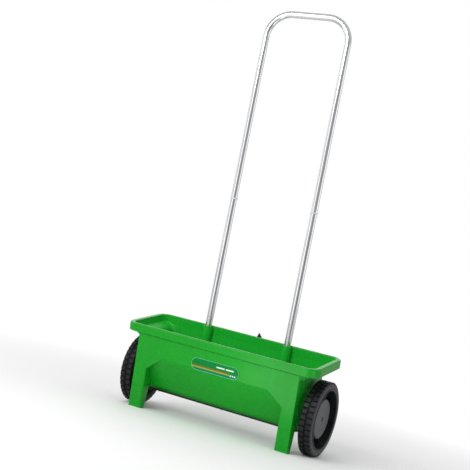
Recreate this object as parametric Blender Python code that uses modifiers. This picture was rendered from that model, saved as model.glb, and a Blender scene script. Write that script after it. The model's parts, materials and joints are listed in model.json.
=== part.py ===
"""Garden drop spreader: hopper, two wheels, feed roller, dosing slide with its lever, and a U handle.

Everything is drawn in the hopper's own frame: origin at the middle of the axle, +X along the axle,
-Y to the front, +Z square to the hopper's rim.  One empty tips that frame forward until the two feet
and the two wheels stand on the ground plane z = 0.
"""
import math

import bmesh
import bpy
from mathutils import Matrix, Vector

# Driving dimensions, in metres.
WHEEL_RADIUS = 0.0942
WHEEL_WIDTH = 0.0362
WHEEL_OUTER_X = 0.2752
AXLE_RADIUS = 0.005
GAP = 0.0003

BODY_HALF = 0.2275
WALL = 0.003
RIM_TOP = 0.142
RIM_BOTTOM = 0.120
RIM_HALF = 0.271
RIM_FRONT = -0.102
RIM_REAR = 0.084
RIM_CORNER = 0.030
RIM_ROUND = 0.003
FRONT_TOP_Y = -0.0985
FRONT_TOP_Z = 0.121
FOOT_FRONT_Y = -0.106
FOOT_FRONT_Z = -0.0736
FOOT_DEPTH = 0.019
LEG_WIDTH = 0.035
RECESS_TOP_Z = 0.066
RECESS_TOP_HALF = 0.150
RECESS_SIDE_Z = 0.030
SLOPE_RUN = 0.437
SLOPE_THICKENING = 1.09
TROUGH_RADIUS = 0.0335
BASE_Z = -0.037

TUBE_RADIUS = 0.009
TUBE_WALL = 0.001
TUBE_X = 0.1173
TUBE_RIM_Y = 0.070
TUBE_LEAN = math.radians(6.77)
TUBE_BOTTOM = -0.104
JOINT_AT = 0.349
HANDLE_TOP = 0.858
BEND_RADIUS = 0.066

HOLE_COUNT = 14
HOLE_PITCH = 0.030
HOLE_LENGTH = 0.012
HOLE_WIDTH = 0.010

LEVER_PIVOT = Vector((0.0378, 0.0, 0.030))
LEVER_REST = math.radians(6.5)
LEVER_FRONT_Y = 0.0905
LEVER_THICKNESS = 0.004
LEVER_TIP_Z = 0.151
SLIDE_Z = -0.0395
SLIDE_THICKNESS = 0.002
DRIVE_PIN_Z = -0.0385
STUD_RADIUS = 0.0025
STUD_END = 0.0975


def rest_angle():
    """Tilt about +X that brings the foot's front edge as low as the wheels."""
    reach = math.hypot(FOOT_FRONT_Y, FOOT_FRONT_Z)
    phase = math.atan2(FOOT_FRONT_Z, FOOT_FRONT_Y)
    return math.asin(WHEEL_RADIUS / reach) - math.pi - phase


# ---------------------------------------------------------------- scene and materials
def clear_scene():
    for item in list(bpy.data.objects):
        bpy.data.objects.remove(item, do_unlink=True)


def make_collection(name):
    collection = bpy.data.collections.new(name)
    bpy.context.scene.collection.children.link(collection)
    return collection


def make_material(name, colour, roughness, metallic=0.0):
    material = bpy.data.materials.new(name)
    material.use_nodes = True
    shader = material.node_tree.nodes["Principled BSDF"]
    shader.inputs["Base Color"].default_value = (*colour, 1.0)
    shader.inputs["Roughness"].default_value = roughness
    shader.inputs["Metallic"].default_value = metallic
    material.diffuse_color = (*colour, 1.0)
    return material


# ---------------------------------------------------------------- shape helpers
PLANES = {
    "yz": Matrix(((0, 0, 1), (1, 0, 0), (0, 1, 0))).to_4x4(),
    "xz": Matrix(((1, 0, 0), (0, 0, -1), (0, 1, 0))).to_4x4(),
    "xy": Matrix.Identity(4),
}
AXES = {
    "x": Matrix.Rotation(math.pi / 2, 4, "Y"),
    "y": Matrix.Rotation(-math.pi / 2, 4, "X"),
    "z": Matrix.Identity(4),
}


def mesh_of(name, bm):
    mesh = bpy.data.meshes.new(name)
    bm.to_mesh(mesh)
    bm.free()
    return mesh


def arc(centre, radius, start, end, steps):
    """Points on a circle's arc, angles in degrees."""
    angles = [math.radians(start + (end - start) * i / steps) for i in range(steps + 1)]
    return [(centre[0] + radius * math.cos(a), centre[1] + radius * math.sin(a)) for a in angles]


def curve_mesh(name, curve):
    """Mesh of a curve, with its loose caps welded on."""
    holder = bpy.data.objects.new(name, curve)
    bpy.context.scene.collection.objects.link(holder)
    evaluated = holder.evaluated_get(bpy.context.evaluated_depsgraph_get())
    mesh = bpy.data.meshes.new_from_object(evaluated)
    bpy.data.objects.remove(holder, do_unlink=True)
    bm = bmesh.new()
    bm.from_mesh(mesh)
    bpy.data.meshes.remove(mesh)
    bmesh.ops.remove_doubles(bm, verts=bm.verts, dist=1e-6)
    bmesh.ops.recalc_face_normals(bm, faces=bm.faces)
    closed = all(edge.is_manifold for edge in bm.edges)
    if closed and bm.calc_volume(signed=True) < 0:
        bmesh.ops.reverse_faces(bm, faces=bm.faces)
    return mesh_of(name, bm)


def slab_mesh(name, outline, plane, low, high):
    """A flat outline drawn in a plane and made thick from low to high along the third axis."""
    curve = bpy.data.curves.new(name, "CURVE")
    curve.dimensions = "2D"
    curve.fill_mode = "BOTH"
    curve.extrude = (high - low) / 2
    spline = curve.splines.new("POLY")
    spline.points.add(len(outline) - 1)
    for point, (u, v) in zip(spline.points, outline):
        point.co = (u, v, 0.0, 1.0)
    spline.use_cyclic_u = True
    mesh = curve_mesh(name, curve)
    middle = (low + high) / 2
    shift = Matrix.Translation((0, 0, -middle if plane == "xz" else middle))
    mesh.transform(PLANES[plane] @ shift)
    return mesh


def tube_mesh(name, points, radius, capped=True, resolution=4):
    """A round bar or an open pipe skin along a path."""
    curve = bpy.data.curves.new(name, "CURVE")
    curve.dimensions = "3D"
    curve.bevel_depth = radius
    curve.bevel_resolution = resolution
    curve.use_fill_caps = capped
    spline = curve.splines.new("POLY")
    spline.points.add(len(points) - 1)
    for point, place in zip(spline.points, points):
        point.co = (*place, 1.0)
    return curve_mesh(name, curve)


def cylinder_mesh(name, radius, axis, low, high, centre=(0, 0, 0), sides=24):
    bm = bmesh.new()
    bmesh.ops.create_cone(bm, cap_ends=True, segments=sides, radius1=radius, radius2=radius, depth=high - low)
    bm.transform(Matrix.Translation((0, 0, (low + high) / 2)))
    bm.transform(Matrix.Translation(centre) @ AXES[axis])
    return mesh_of(name, bm)


def box_mesh(name, low, high):
    bm = bmesh.new()
    bmesh.ops.create_cube(bm, size=1.0)
    size = [b - a for a, b in zip(low, high)]
    middle = [(a + b) / 2 for a, b in zip(low, high)]
    bm.transform(Matrix.Translation(middle) @ Matrix.Diagonal((*size, 1.0)))
    return mesh_of(name, bm)


def joined_mesh(name, meshes):
    """Separate closed shapes in one mesh, used as a cutter."""
    bm = bmesh.new()
    for mesh in meshes:
        bm.from_mesh(mesh)
        bpy.data.meshes.remove(mesh)
    return mesh_of(name, bm)


def add_screw(item, sides):
    """Turn an open profile about the local Z axis."""
    screw = item.modifiers.new("Turn", "SCREW")
    screw.axis = "Z"
    screw.steps = sides
    screw.render_steps = sides
    screw.use_merge_vertices = True
    screw.merge_threshold = 0.00001


def profile_mesh(name, profile):
    """Open profile of (radius, height) points, drawn at +X."""
    bm = bmesh.new()
    verts = [bm.verts.new((r, 0.0, z)) for r, z in profile]
    for first, second in zip(verts, verts[1:]):
        bm.edges.new((first, second))
    mesh = bpy.data.meshes.new(name)
    bm.to_mesh(mesh)
    bm.free()
    return mesh


class Model:
    """Puts objects in the tipped hopper frame and keeps cutters apart from parts."""

    def __init__(self, name):
        self.parts = make_collection(name)
        self.cutters = make_collection("cutters")
        self.tilt = bpy.data.objects.new("hopper_frame", None)
        self.parts.objects.link(self.tilt)
        angle = rest_angle()
        front_reach = RIM_FRONT * math.cos(angle) - (RIM_TOP - RIM_ROUND) * math.sin(angle)
        stud_low = DRIVE_PIN_Z - STUD_RADIUS
        rear_reach = STUD_END * math.cos(angle) - stud_low * math.sin(angle)
        self.tilt.rotation_euler = (angle, 0, 0)
        self.tilt.location = (0, -(front_reach + rear_reach) / 2, WHEEL_RADIUS)
        bpy.context.view_layer.update()

    def place(self, item, collection, location, rotation):
        collection.objects.link(item)
        item.parent = self.tilt
        item.location = location
        item.rotation_euler = rotation

    def part(self, name, mesh, material, location=(0, 0, 0), rotation=(0, 0, 0)):
        item = bpy.data.objects.new(name, mesh)
        item.data.materials.append(material)
        self.place(item, self.parts, location, rotation)
        item.data.shade_smooth()
        item.data.set_sharp_from_angle(angle=math.radians(35))
        return item

    def cutter(self, name, mesh, location=(0, 0, 0), rotation=(0, 0, 0)):
        item = bpy.data.objects.new(name, mesh)
        self.place(item, self.cutters, location, rotation)
        item.hide_render = True
        item.display_type = "WIRE"
        return item

    def combine(self, item, tool, operation):
        boolean = item.modifiers.new(tool.name, "BOOLEAN")
        boolean.operation = operation
        boolean.solver = "EXACT"
        boolean.object = tool

    def cut(self, item, name, mesh, location=(0, 0, 0), rotation=(0, 0, 0)):
        self.combine(item, self.cutter(name, mesh, location, rotation), "DIFFERENCE")

    def join(self, item, name, mesh, location=(0, 0, 0), rotation=(0, 0, 0)):
        self.combine(item, self.cutter(name, mesh, location, rotation), "UNION")


# ---------------------------------------------------------------- hopper
def front_y(z):
    """The front panel's plane, from the rim down to the feet."""
    share = (z - FRONT_TOP_Z) / (FOOT_FRONT_Z - FRONT_TOP_Z)
    return FRONT_TOP_Y + (FOOT_FRONT_Y - FRONT_TOP_Y) * share


def slope_y(z):
    """Outer face of the hopper's lower front wall, which runs back under the panel."""
    return front_y(RECESS_TOP_Z) + SLOPE_RUN * (RECESS_TOP_Z - z)


def rear_y(z):
    """Inner face of the rear wall, which leans with the handle."""
    return 0.0735 + math.tan(TUBE_LEAN) * (z - 0.120)


def rounded_loop(half, front, rear, radius, z, steps=4):
    """Level loop of points round a rectangle with round corners."""
    corners = ((half, rear, 0), (-half, rear, 90), (-half, front, 180), (half, front, 270))
    points = []
    for x, y, start in corners:
        centre = (x - math.copysign(radius, x), y - radius if start < 180 else y + radius)
        points += [(u, v, z) for u, v in arc(centre, radius, start, start + 90, steps)]
    return points


def hopper_levels():
    """Visible skin from the skirt's lower edge, over the rim and down inside to the trough.

    Each level is (half width, front, rear, corner radius, height).
    """
    half = BODY_HALF - WALL
    slant = WALL * SLOPE_THICKENING
    ease = RIM_ROUND
    levels = [
        (RIM_HALF, RIM_FRONT, RIM_REAR, RIM_CORNER, RIM_BOTTOM),
        (RIM_HALF, RIM_FRONT, RIM_REAR, RIM_CORNER, RIM_TOP - ease),
        (RIM_HALF - ease, RIM_FRONT + ease, RIM_REAR - ease, RIM_CORNER - ease, RIM_TOP),
        (0.2590, -0.0935, 0.0745, 0.018, RIM_TOP),
        (0.2565, -0.0925, 0.0735, 0.016, RIM_TOP - 0.0025),
        (0.2545, -0.0940, 0.0735, 0.014, 0.1245),
        (half + 0.0005, -0.0952, 0.0732, 0.008, 0.1160),
        (half, front_y(RECESS_TOP_Z) + WALL, rear_y(RECESS_TOP_Z), 0.008, RECESS_TOP_Z),
        (half, slope_y(0.020) + slant, rear_y(0.020), 0.008, 0.020),
        (half, slope_y(-0.014) + slant, 0.046, 0.008, -0.014),
    ]
    for degrees, radius in ((-38, 0.008), (-55, 0.006), (-76, 0.004)):
        reach = TROUGH_RADIUS * math.cos(math.radians(degrees))
        levels.append((half, -reach, reach, radius, TROUGH_RADIUS * math.sin(math.radians(degrees))))
    return levels


def hopper_skin():
    bm = bmesh.new()
    loops = [[bm.verts.new(p) for p in rounded_loop(*level)] for level in hopper_levels()]
    for lower, upper in zip(loops, loops[1:]):
        for i, vert in enumerate(lower):
            j = (i + 1) % len(lower)
            bm.faces.new((vert, lower[j], upper[j], upper[i]))
    bm.faces.new(loops[-1])
    bm.normal_update()
    mesh = bpy.data.meshes.new("hopper")
    bm.to_mesh(mesh)
    bm.free()
    return mesh


def leg_outline():
    """Side view of the front panel with a leg: panel, foot, and the leg's rear edge."""
    angle = rest_angle()
    sole_rear_z = FOOT_FRONT_Z - FOOT_DEPTH * math.tan(angle)
    return [
        (front_y(0.119), 0.119),
        (FOOT_FRONT_Y, FOOT_FRONT_Z),
        (FOOT_FRONT_Y + FOOT_DEPTH, sole_rear_z),
        (-0.0740, -0.0210),
        (slope_y(-0.0225) + 0.0012, -0.0225),
        (slope_y(0.030) + 0.0012, 0.030),
        (front_y(0.119) + 0.0015, 0.075),
        (front_y(0.119) + 0.0015, 0.119),
    ]


def recess_outline():
    """Front view of the opening between the legs, under the panel."""
    inner = BODY_HALF - LEG_WIDTH
    right = [(inner, -0.12), (inner, RECESS_SIDE_Z), (RECESS_TOP_HALF, RECESS_TOP_Z)]
    return right + [(-x, z) for x, z in reversed(right)]


def leg_hollow_outline():
    """Side view of the space inside a leg, open to the rear below the trough."""
    return [
        (front_y(0.042) + WALL, 0.042),
        (front_y(-0.064) + WALL, -0.064),
        (-0.056, -0.064),
        (-0.056, -0.0262),
        (slope_y(-0.0245) - 0.0012, -0.0245),
        (slope_y(0.042) - 0.0012, 0.042),
    ]


def base_outline():
    """Flat pad under the trough that the dosing slide runs on."""
    hollow = arc((0, 0), TROUGH_RADIUS + 0.0012, 220, 320, 10)
    half = 0.027
    top = -0.0236
    return [(half, BASE_Z), (half, top)] + list(reversed(hollow)) + [(-half, top), (-half, BASE_Z)]


def hole_boxes(name, low, high, offset=0.0):
    boxes = []
    for i in range(HOLE_COUNT):
        x = (i - (HOLE_COUNT - 1) / 2) * HOLE_PITCH + offset
        left = (x - HOLE_LENGTH / 2, -HOLE_WIDTH / 2, low)
        right = (x + HOLE_LENGTH / 2, HOLE_WIDTH / 2, high)
        boxes.append(box_mesh(name, left, right))
    return joined_mesh(name, boxes)


RAIL_SCREW_X = (-0.190, 0.0, 0.190)
RAIL_SCREW_Y = 0.0228
SOCKET_SCREW_AT = -0.066
SCREW_HOLE = 0.0019


def make_hopper(model, material):
    hopper = model.part("hopper", hopper_skin(), material)
    shell = hopper.modifiers.new("Wall", "SOLIDIFY")
    shell.thickness = WALL
    shell.offset = -1.0
    shell.use_even_offset = True
    reach = BODY_HALF + 0.0004
    legs = model.cutter("legs", slab_mesh("legs", leg_outline(), "yz", -reach, reach))
    model.cut(legs, "recess", slab_mesh("recess", recess_outline(), "xz", -0.20, 0.02))
    model.combine(hopper, legs, "UNION")
    inner = BODY_HALF - LEG_WIDTH + WALL
    hollows = []
    for low, high in ((inner, BODY_HALF - WALL), (WALL - BODY_HALF, -inner)):
        hollows.append(slab_mesh("leg_hollow", leg_hollow_outline(), "yz", low, high))
    model.join(hopper, "base", slab_mesh("base", base_outline(), "yz", -0.2220, 0.2220))
    model.cut(hopper, "leg_hollows", joined_mesh("leg_hollows", hollows))
    for side, sign in (("left", -1), ("right", 1)):
        lean = (-TUBE_LEAN, 0, 0)
        place = (sign * TUBE_X, TUBE_RIM_Y, RIM_TOP)
        socket = cylinder_mesh("socket", 0.0122, "z", -0.1140, -0.0012)
        model.join(hopper, f"socket_{side}", socket, place, lean)
        bore = cylinder_mesh("bore", TUBE_RADIUS + GAP, "z", TUBE_BOTTOM - 0.001, 0.02)
        model.cut(hopper, f"socket_bore_{side}", bore, place, lean)
        hole = cylinder_mesh("hole", SCREW_HOLE, "y", 0.004, 0.03, (0, 0, SOCKET_SCREW_AT), 8)
        model.cut(hopper, f"socket_hole_{side}", hole, place, lean)
        low, high = sorted((sign * (BODY_HALF - WALL - 0.0015), sign * (BODY_HALF + 0.0010)))
        model.join(hopper, f"axle_boss_{side}", cylinder_mesh("boss", 0.0150, "x", low, high))
        low, high = sorted((sign * 0.20, sign * 0.25))
        model.cut(hopper, f"bush_hole_{side}", cylinder_mesh("bush_hole", 0.0098, "x", low, high))
    pivot = (LEVER_PIVOT.x, 0, LEVER_PIVOT.z)
    model.join(hopper, "lever_boss", cylinder_mesh("lever_boss", 0.0100, "y", 0.0642, 0.0888, pivot))
    model.cut(hopper, "lever_bore", cylinder_mesh("lever_bore", 0.0028, "y", 0.0700, 0.1000, pivot, 16))
    model.cut(hopper, "outlets", hole_boxes("outlets", -0.05, -0.025))
    pilots = []
    for x in RAIL_SCREW_X:
        for y in (-RAIL_SCREW_Y, RAIL_SCREW_Y):
            pilots.append(cylinder_mesh("pilot", 0.0016, "z", -0.05, -0.0290, (x, y, 0), 8))
    model.cut(hopper, "rail_pilots", joined_mesh("rail_pilots", pilots))
    return hopper


def pill_outline(length, height, centre_x, centre_z):
    """Plate outline with half-round ends."""
    radius = height / 2
    reach = length / 2 - radius
    right = arc((centre_x + reach, centre_z), radius, -90, 90, 12)
    left = arc((centre_x - reach, centre_z), radius, 90, 270, 12)
    return right + left


def make_labels(model, material):
    middle_z = 0.081
    tilt = math.atan((FRONT_TOP_Y - FOOT_FRONT_Y) / (FRONT_TOP_Z - FOOT_FRONT_Z))
    plate = slab_mesh("label", pill_outline(0.136, 0.032, 0.003, 0.0), "xz", -0.0006 - GAP, -GAP)
    model.part("front_label", plate, material, (0, front_y(middle_z), middle_z), (-tilt, 0, 0))
    scale = slab_mesh("scale", pill_outline(0.074, 0.014, LEVER_PIVOT.x, 0.0), "xz", GAP, GAP + 0.0008)
    model.part("dosing_scale", scale, material, (0, RIM_REAR, 0.1295))


# ---------------------------------------------------------------- handle
def tube_point(x, distance):
    """Point on a handle tube's plane, measured along the tube from the rim."""
    return (x, TUBE_RIM_Y + distance * math.sin(TUBE_LEAN), RIM_TOP + distance * math.cos(TUBE_LEAN))


def handle_path():
    """Centre line of the U handle: up one side, round two bends, down the other."""
    start = JOINT_AT + 0.0019
    half = TUBE_X - BEND_RADIUS
    top = HANDLE_TOP - BEND_RADIUS
    flat = [(-TUBE_X, start), (-TUBE_X, 0.60)]
    flat += arc((-half, top), BEND_RADIUS, 180, 90, 9)
    flat += arc((half, top), BEND_RADIUS, 90, 0, 9)
    flat += [(TUBE_X, 0.60), (TUBE_X, start)]
    return [tube_point(x, distance) for x, distance in flat]


def pipe(model, name, points, radius, wall, material):
    item = model.part(name, tube_mesh(name, points, radius, capped=False), material)
    shell = item.modifiers.new("Wall", "SOLIDIFY")
    shell.thickness = wall
    shell.offset = -1.0
    return item


def cross_hole(model, item, name, x, distance):
    """Hole for a screw that enters a tube from the rear."""
    place = tube_point(x, distance)
    hole = cylinder_mesh(name, SCREW_HOLE, "y", 0.0, 0.03, sides=8)
    model.cut(item, name, hole, place, (-TUBE_LEAN, 0, 0))


def screw_mesh(name, shank_radius, length, head_radius, head_height, sides=10):
    """Pan-head screw along Z: its head starts at 0 and its shank runs down."""
    profile = [(0.0, head_height), (head_radius * 0.7, head_height), (head_radius, head_height * 0.45),
               (head_radius, 0.0), (shank_radius, 0.0), (shank_radius, -length + shank_radius),
               (0.0, -length)]
    return profile_mesh(name, profile), sides


def add_fastener(model, name, material, location, rotation, sizes):
    """Slotted screw; sizes are shank radius, length, head radius and head height."""
    mesh, sides = screw_mesh(name, *sizes)
    head_radius, head_height = sizes[2:]
    item = model.part(name, mesh, material, location, rotation)
    add_screw(item, sides)
    slot_low = (-head_radius * 0.62, -0.0004, head_height * 0.45)
    slot_high = (head_radius * 0.62, 0.0004, head_height + 0.002)
    model.cut(item, f"slot_{name}", box_mesh("slot", slot_low, slot_high), location, rotation)
    return item


JOINT_SCREW = (0.0015, 0.0065, 0.0032, 0.0020)
SOCKET_SCREW = (0.0015, 0.0085, 0.0034, 0.0022)
RAIL_SCREW = (0.0013, 0.0120, 0.0028, 0.0018)
RING_GAP = 0.0016


def make_handle(model, tube_material, ring_material, screw_material):
    upper = pipe(model, "upper_handle", handle_path(), TUBE_RADIUS, TUBE_WALL, tube_material)
    rearward = Vector((0, math.cos(TUBE_LEAN), -math.sin(TUBE_LEAN)))
    turn = (-math.pi / 2 - TUBE_LEAN, 0, 0)
    for side, x in (("left", -TUBE_X), ("right", TUBE_X)):
        points = [tube_point(x, TUBE_BOTTOM), tube_point(x, JOINT_AT - 0.0019)]
        lower = pipe(model, f"lower_tube_{side}", points, TUBE_RADIUS, TUBE_WALL, tube_material)
        ends = [tube_point(x, JOINT_AT - 0.045), tube_point(x, JOINT_AT + 0.045)]
        sleeve = pipe(model, f"joint_sleeve_{side}", ends, 0.0074, 0.0012, tube_material)
        ends = [tube_point(x, JOINT_AT - RING_GAP), tube_point(x, JOINT_AT + RING_GAP)]
        pipe(model, f"joint_ring_{side}", ends, 0.0102, 0.0024, ring_material)
        for level, item, offset in (("lower", lower, -0.025), ("upper", upper, 0.025)):
            distance = JOINT_AT + offset
            cross_hole(model, item, f"{level}_hole_{side}", x, distance)
            cross_hole(model, sleeve, f"{level}_sleeve_hole_{side}", x, distance)
            head = Vector(tube_point(x, distance)) + rearward * 0.0093
            add_fastener(model, f"joint_screw_{level}_{side}", screw_material, head, turn, JOINT_SCREW)
        cross_hole(model, lower, f"socket_screw_hole_{side}", x, SOCKET_SCREW_AT)
        head = Vector(tube_point(x, SOCKET_SCREW_AT)) + rearward * 0.0126
        add_fastener(model, f"socket_screw_{side}", screw_material, head, turn, SOCKET_SCREW)


# ---------------------------------------------------------------- axle, roller and wheels
CLIP_X = 0.2583
ROLLER_HALF = 0.2205
ROLLER_CORE = 0.014
ROLLER_RADIUS = 0.0312
ROLLER_PIN_X = 0.165
DRIVE_PIN_X = 0.2372
PIN_HOLE = 0.0018
PIN_RADIUS = 0.0015
BUSH_END_X = 0.2315


def make_axle(model, material):
    half = [(0.0, 0.2612), (0.0042, 0.2612), (AXLE_RADIUS, 0.2604), (AXLE_RADIUS, CLIP_X + 0.0009),
            (0.0038, CLIP_X + 0.0009), (0.0038, CLIP_X - 0.0009), (AXLE_RADIUS, CLIP_X - 0.0009)]
    profile = half + [(r, -x) for r, x in reversed(half)]
    axle = model.part("axle", profile_mesh("axle", profile), material, rotation=(0, math.pi / 2, 0))
    add_screw(axle, 16)
    for name, x in (("left", -ROLLER_PIN_X), ("right", ROLLER_PIN_X), ("drive", DRIVE_PIN_X)):
        hole = cylinder_mesh("pin_hole", PIN_HOLE, "z", -0.02, 0.02, (x, 0, 0), 8)
        model.cut(axle, f"pin_hole_{name}", hole)


def roller_outline():
    """End view of the fluted feed roller: eight ribs on a round core."""
    points = []
    half_rib = 0.0016
    for i in range(8):
        turn = math.radians(45 * i + 22.5)
        foot = math.sqrt(ROLLER_CORE ** 2 - half_rib ** 2)
        rib = [(-half_rib, foot), (-half_rib, ROLLER_RADIUS), (half_rib, ROLLER_RADIUS), (half_rib, foot)]
        for across, along in rib:
            points.append((along * math.cos(turn) - across * math.sin(turn),
                           along * math.sin(turn) + across * math.cos(turn)))
        middle = turn + math.radians(22.5)
        points.append((ROLLER_CORE * math.cos(middle), ROLLER_CORE * math.sin(middle)))
    return points


def make_roller(model, material, steel):
    fluted = slab_mesh("feed_roller", roller_outline(), "yz", -ROLLER_HALF, ROLLER_HALF)
    roller = model.part("feed_roller", fluted, material)
    bore = cylinder_mesh("roller_bore", AXLE_RADIUS + GAP, "x", -0.25, 0.25, sides=16)
    model.cut(roller, "roller_bore", bore)
    for side, x in (("left", -ROLLER_PIN_X), ("right", ROLLER_PIN_X)):
        hole = cylinder_mesh("roller_hole", PIN_HOLE, "z", -0.03, 0.03, (x, 0, 0), 8)
        model.cut(roller, f"roller_hole_{side}", hole)
        pin = cylinder_mesh("roller_pin", PIN_RADIUS, "z", -0.0132, 0.0132, (x, 0, 0), 8)
        model.part(f"roller_pin_{side}", pin, steel)


def ring_part(model, name, inner, outer, low, high, material, sides=20):
    """A flat ring round the axle line between two X values."""
    item = model.part(name, cylinder_mesh(name, outer, "x", low, high, sides=sides), material)
    model.cut(item, f"bore_{name}", cylinder_mesh("bore", inner, "x", low - 0.01, high + 0.01, sides=sides))
    return item


WASHERS = (("inner_washer", 0.2318, 0.2328, 0.0110), ("outer_washer", 0.2562, 0.2571, 0.0100))


def make_bushes(model, material, steel):
    bore_radius = AXLE_RADIUS + GAP
    for side, sign in (("left", -1), ("right", 1)):
        low, high = sorted((sign * 0.2225, sign * BUSH_END_X))
        bush = model.part(f"axle_bush_{side}", cylinder_mesh("axle_bush", 0.0095, "x", low, high), material)
        low, high = sorted((sign * (BODY_HALF + 0.0013), sign * BUSH_END_X))
        model.join(bush, f"bush_flange_{side}", cylinder_mesh("bush_flange", 0.0138, "x", low, high))
        low, high = sorted((sign * 0.21, sign * 0.24))
        bore = cylinder_mesh("bush_bore", bore_radius, "x", low, high, sides=16)
        model.cut(bush, f"bush_bore_{side}", bore)
        for name, near, far, outer in WASHERS:
            low, high = sorted((sign * near, sign * far))
            ring_part(model, f"{name}_{side}", bore_radius, outer, low, high, steel)
        low, high = sorted((sign * (CLIP_X - 0.0006), sign * (CLIP_X + 0.0006)))
        clip = ring_part(model, f"retaining_clip_{side}", 0.0041, 0.0085, low, high, steel)
        low, high = (low - 0.001, high + 0.001)
        mouth = box_mesh("clip_mouth", (low, -0.0034, -0.012), (high, 0.0034, 0.0))
        model.cut(clip, f"clip_mouth_{side}", mouth)


def tyre_profile():
    """Closed section of the tyre ring as (radius, distance from the wheel's middle)."""
    half = WHEEL_WIDTH / 2
    shoulder = 0.0035
    return [
        (WHEEL_RADIUS, half - shoulder), (WHEEL_RADIUS, shoulder - half), (WHEEL_RADIUS - shoulder, -half),
        (0.0755, -half), (0.0735, 0.0020 - half), (0.0735, half - 0.0020), (0.0755, half),
        (WHEEL_RADIUS - shoulder, half), (WHEEL_RADIUS, half - shoulder),
    ]


def make_wheel(model, side, sign, material, cap_material):
    middle = sign * (WHEEL_OUTER_X - WHEEL_WIDTH / 2)
    tyre = profile_mesh("tyre", tyre_profile())
    wheel = model.part(f"wheel_{side}", tyre, material, (middle, 0, 0), (0, math.pi / 2, 0))
    add_screw(wheel, 48)
    low, high = sorted((sign * 0.2331, sign * 0.2559))
    spokes = model.cutter(f"spokes_{side}", cylinder_mesh("hub", 0.0170, "x", low, high))
    low, high = sorted((sign * 0.2440, sign * 0.2585))
    for i in range(4):
        bar = box_mesh("spoke", (low, -0.0045, -0.0745), (high, 0.0045, 0.0745))
        model.join(spokes, f"spoke_{side}_{i}", bar, rotation=(math.radians(45 * i + 22.5), 0, 0))
    low, high = sorted((sign * 0.2545, sign * 0.2585))
    web = cylinder_mesh("web", 0.0490, "x", low, high, sides=32)
    model.join(spokes, f"web_{side}", web)
    low, high = sorted((sign * 0.2559, sign * 0.28))
    model.cut(spokes, f"hub_well_{side}", cylinder_mesh("hub_well", 0.0150, "x", low, high))
    model.combine(wheel, spokes, "UNION")
    low, high = sorted((sign * 0.20, sign * 0.28))
    bore = cylinder_mesh("wheel_bore", AXLE_RADIUS + GAP, "x", low, high, sides=16)
    model.cut(wheel, f"wheel_bore_{side}", bore)
    if side == "right":
        slot = box_mesh("drive_slot", (0.2330, -0.0019, -0.0130), (DRIVE_PIN_X + 0.0019, 0.0019, 0.0130))
        model.cut(wheel, "drive_slot", slot)
    cap = [(0.0, 0.0026), (0.0035, 0.0040), (0.0460, 0.0040), (0.0500, 0.0020), (0.0500, -0.0039),
           (0.0478, -0.0039), (0.0478, 0.0), (0.0, 0.0)]
    profile = profile_mesh("hub_cap", cap)
    place = (sign * 0.2627, 0, 0)
    hub_cap = model.part(f"hub_cap_{side}", profile, cap_material, place, (0, sign * math.pi / 2, 0))
    add_screw(hub_cap, 36)


# ---------------------------------------------------------------- dosing slide and lever
RAIL_HALF = 0.2150
RAIL_EDGE_Y = 0.0268
RAIL_BOTTOM = -0.0418


def make_slide(model, material, steel):
    """Plate with holes under the trough, with a tab and stud that the lever moves."""
    top = SLIDE_Z + SLIDE_THICKNESS
    stud_x = LEVER_PIVOT.x + math.tan(LEVER_REST) * (LEVER_PIVOT.z - DRIVE_PIN_Z)
    plate = box_mesh("dosing_slide", (-0.2080, -0.0140, SLIDE_Z), (0.2080, 0.0140, top))
    slide = model.part("dosing_slide", plate, material)
    tab = box_mesh("slide_tab", (stud_x - 0.008, 0.0120, SLIDE_Z), (stud_x + 0.008, 0.0860, top))
    model.join(slide, "slide_tab", tab)
    stud = cylinder_mesh("slide_stud", STUD_RADIUS, "y", 0.0835, STUD_END, (stud_x, 0, DRIVE_PIN_Z), 12)
    model.join(slide, "slide_stud", stud)
    model.cut(slide, "slide_holes", hole_boxes("slide_holes", -0.05, -0.03, HOLE_PITCH / 2))
    for side, sign in (("front", -1), ("rear", 1)):
        near, far = sorted((sign * 0.0143, sign * RAIL_EDGE_Y))
        bar = box_mesh("rail", (-RAIL_HALF, near, -0.0410), (RAIL_HALF, far, BASE_Z - GAP))
        rail = model.part(f"slide_rail_{side}", bar, material)
        near, far = sorted((sign * 0.0110, sign * RAIL_EDGE_Y))
        lip = box_mesh("lip", (-RAIL_HALF, near, RAIL_BOTTOM), (RAIL_HALF, far, -0.0398))
        model.join(rail, f"rail_lip_{side}", lip)
        holes = []
        for x in RAIL_SCREW_X:
            spot = (x, sign * RAIL_SCREW_Y, 0)
            holes.append(cylinder_mesh("rail_hole", SCREW_HOLE, "z", -0.05, -0.03, spot, 8))
        model.cut(rail, f"rail_holes_{side}", joined_mesh("rail_holes", holes))
        if side == "rear":
            low = (stud_x - 0.0250, 0.0100, -0.0398)
            high = (stud_x + 0.0095, 0.0300, -0.0300)
            model.cut(rail, "rail_notch", box_mesh("rail_notch", low, high))
        for place, x in zip(("left", "middle", "right"), RAIL_SCREW_X):
            spot = (x, sign * RAIL_SCREW_Y, RAIL_BOTTOM - GAP)
            add_fastener(model, f"rail_screw_{side}_{place}", steel, spot, (math.pi, 0, 0), RAIL_SCREW)


def lever_outline():
    """Rear view of the lever about its pivot: forked foot, round eye, and a blade with a pointed grip."""
    reach = LEVER_TIP_Z - LEVER_PIVOT.z
    drop = LEVER_PIVOT.z - DRIVE_PIN_Z
    slot = 0.0029
    prong = 0.0065
    toe = -drop - 0.0060
    right = [(slot, -drop + 0.0045), (slot, toe), (prong, toe), (prong, -drop + 0.0085), (0.0050, -0.0120)]
    right += arc((0, 0), 0.0115, -50, 50, 6)
    right += [(0.0060, 0.0200), (0.0080, reach - 0.030), (0.0085, reach - 0.014), (0.0, reach)]
    left = [(-x, z) for x, z in reversed(right[:-1])]
    return right + left


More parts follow.
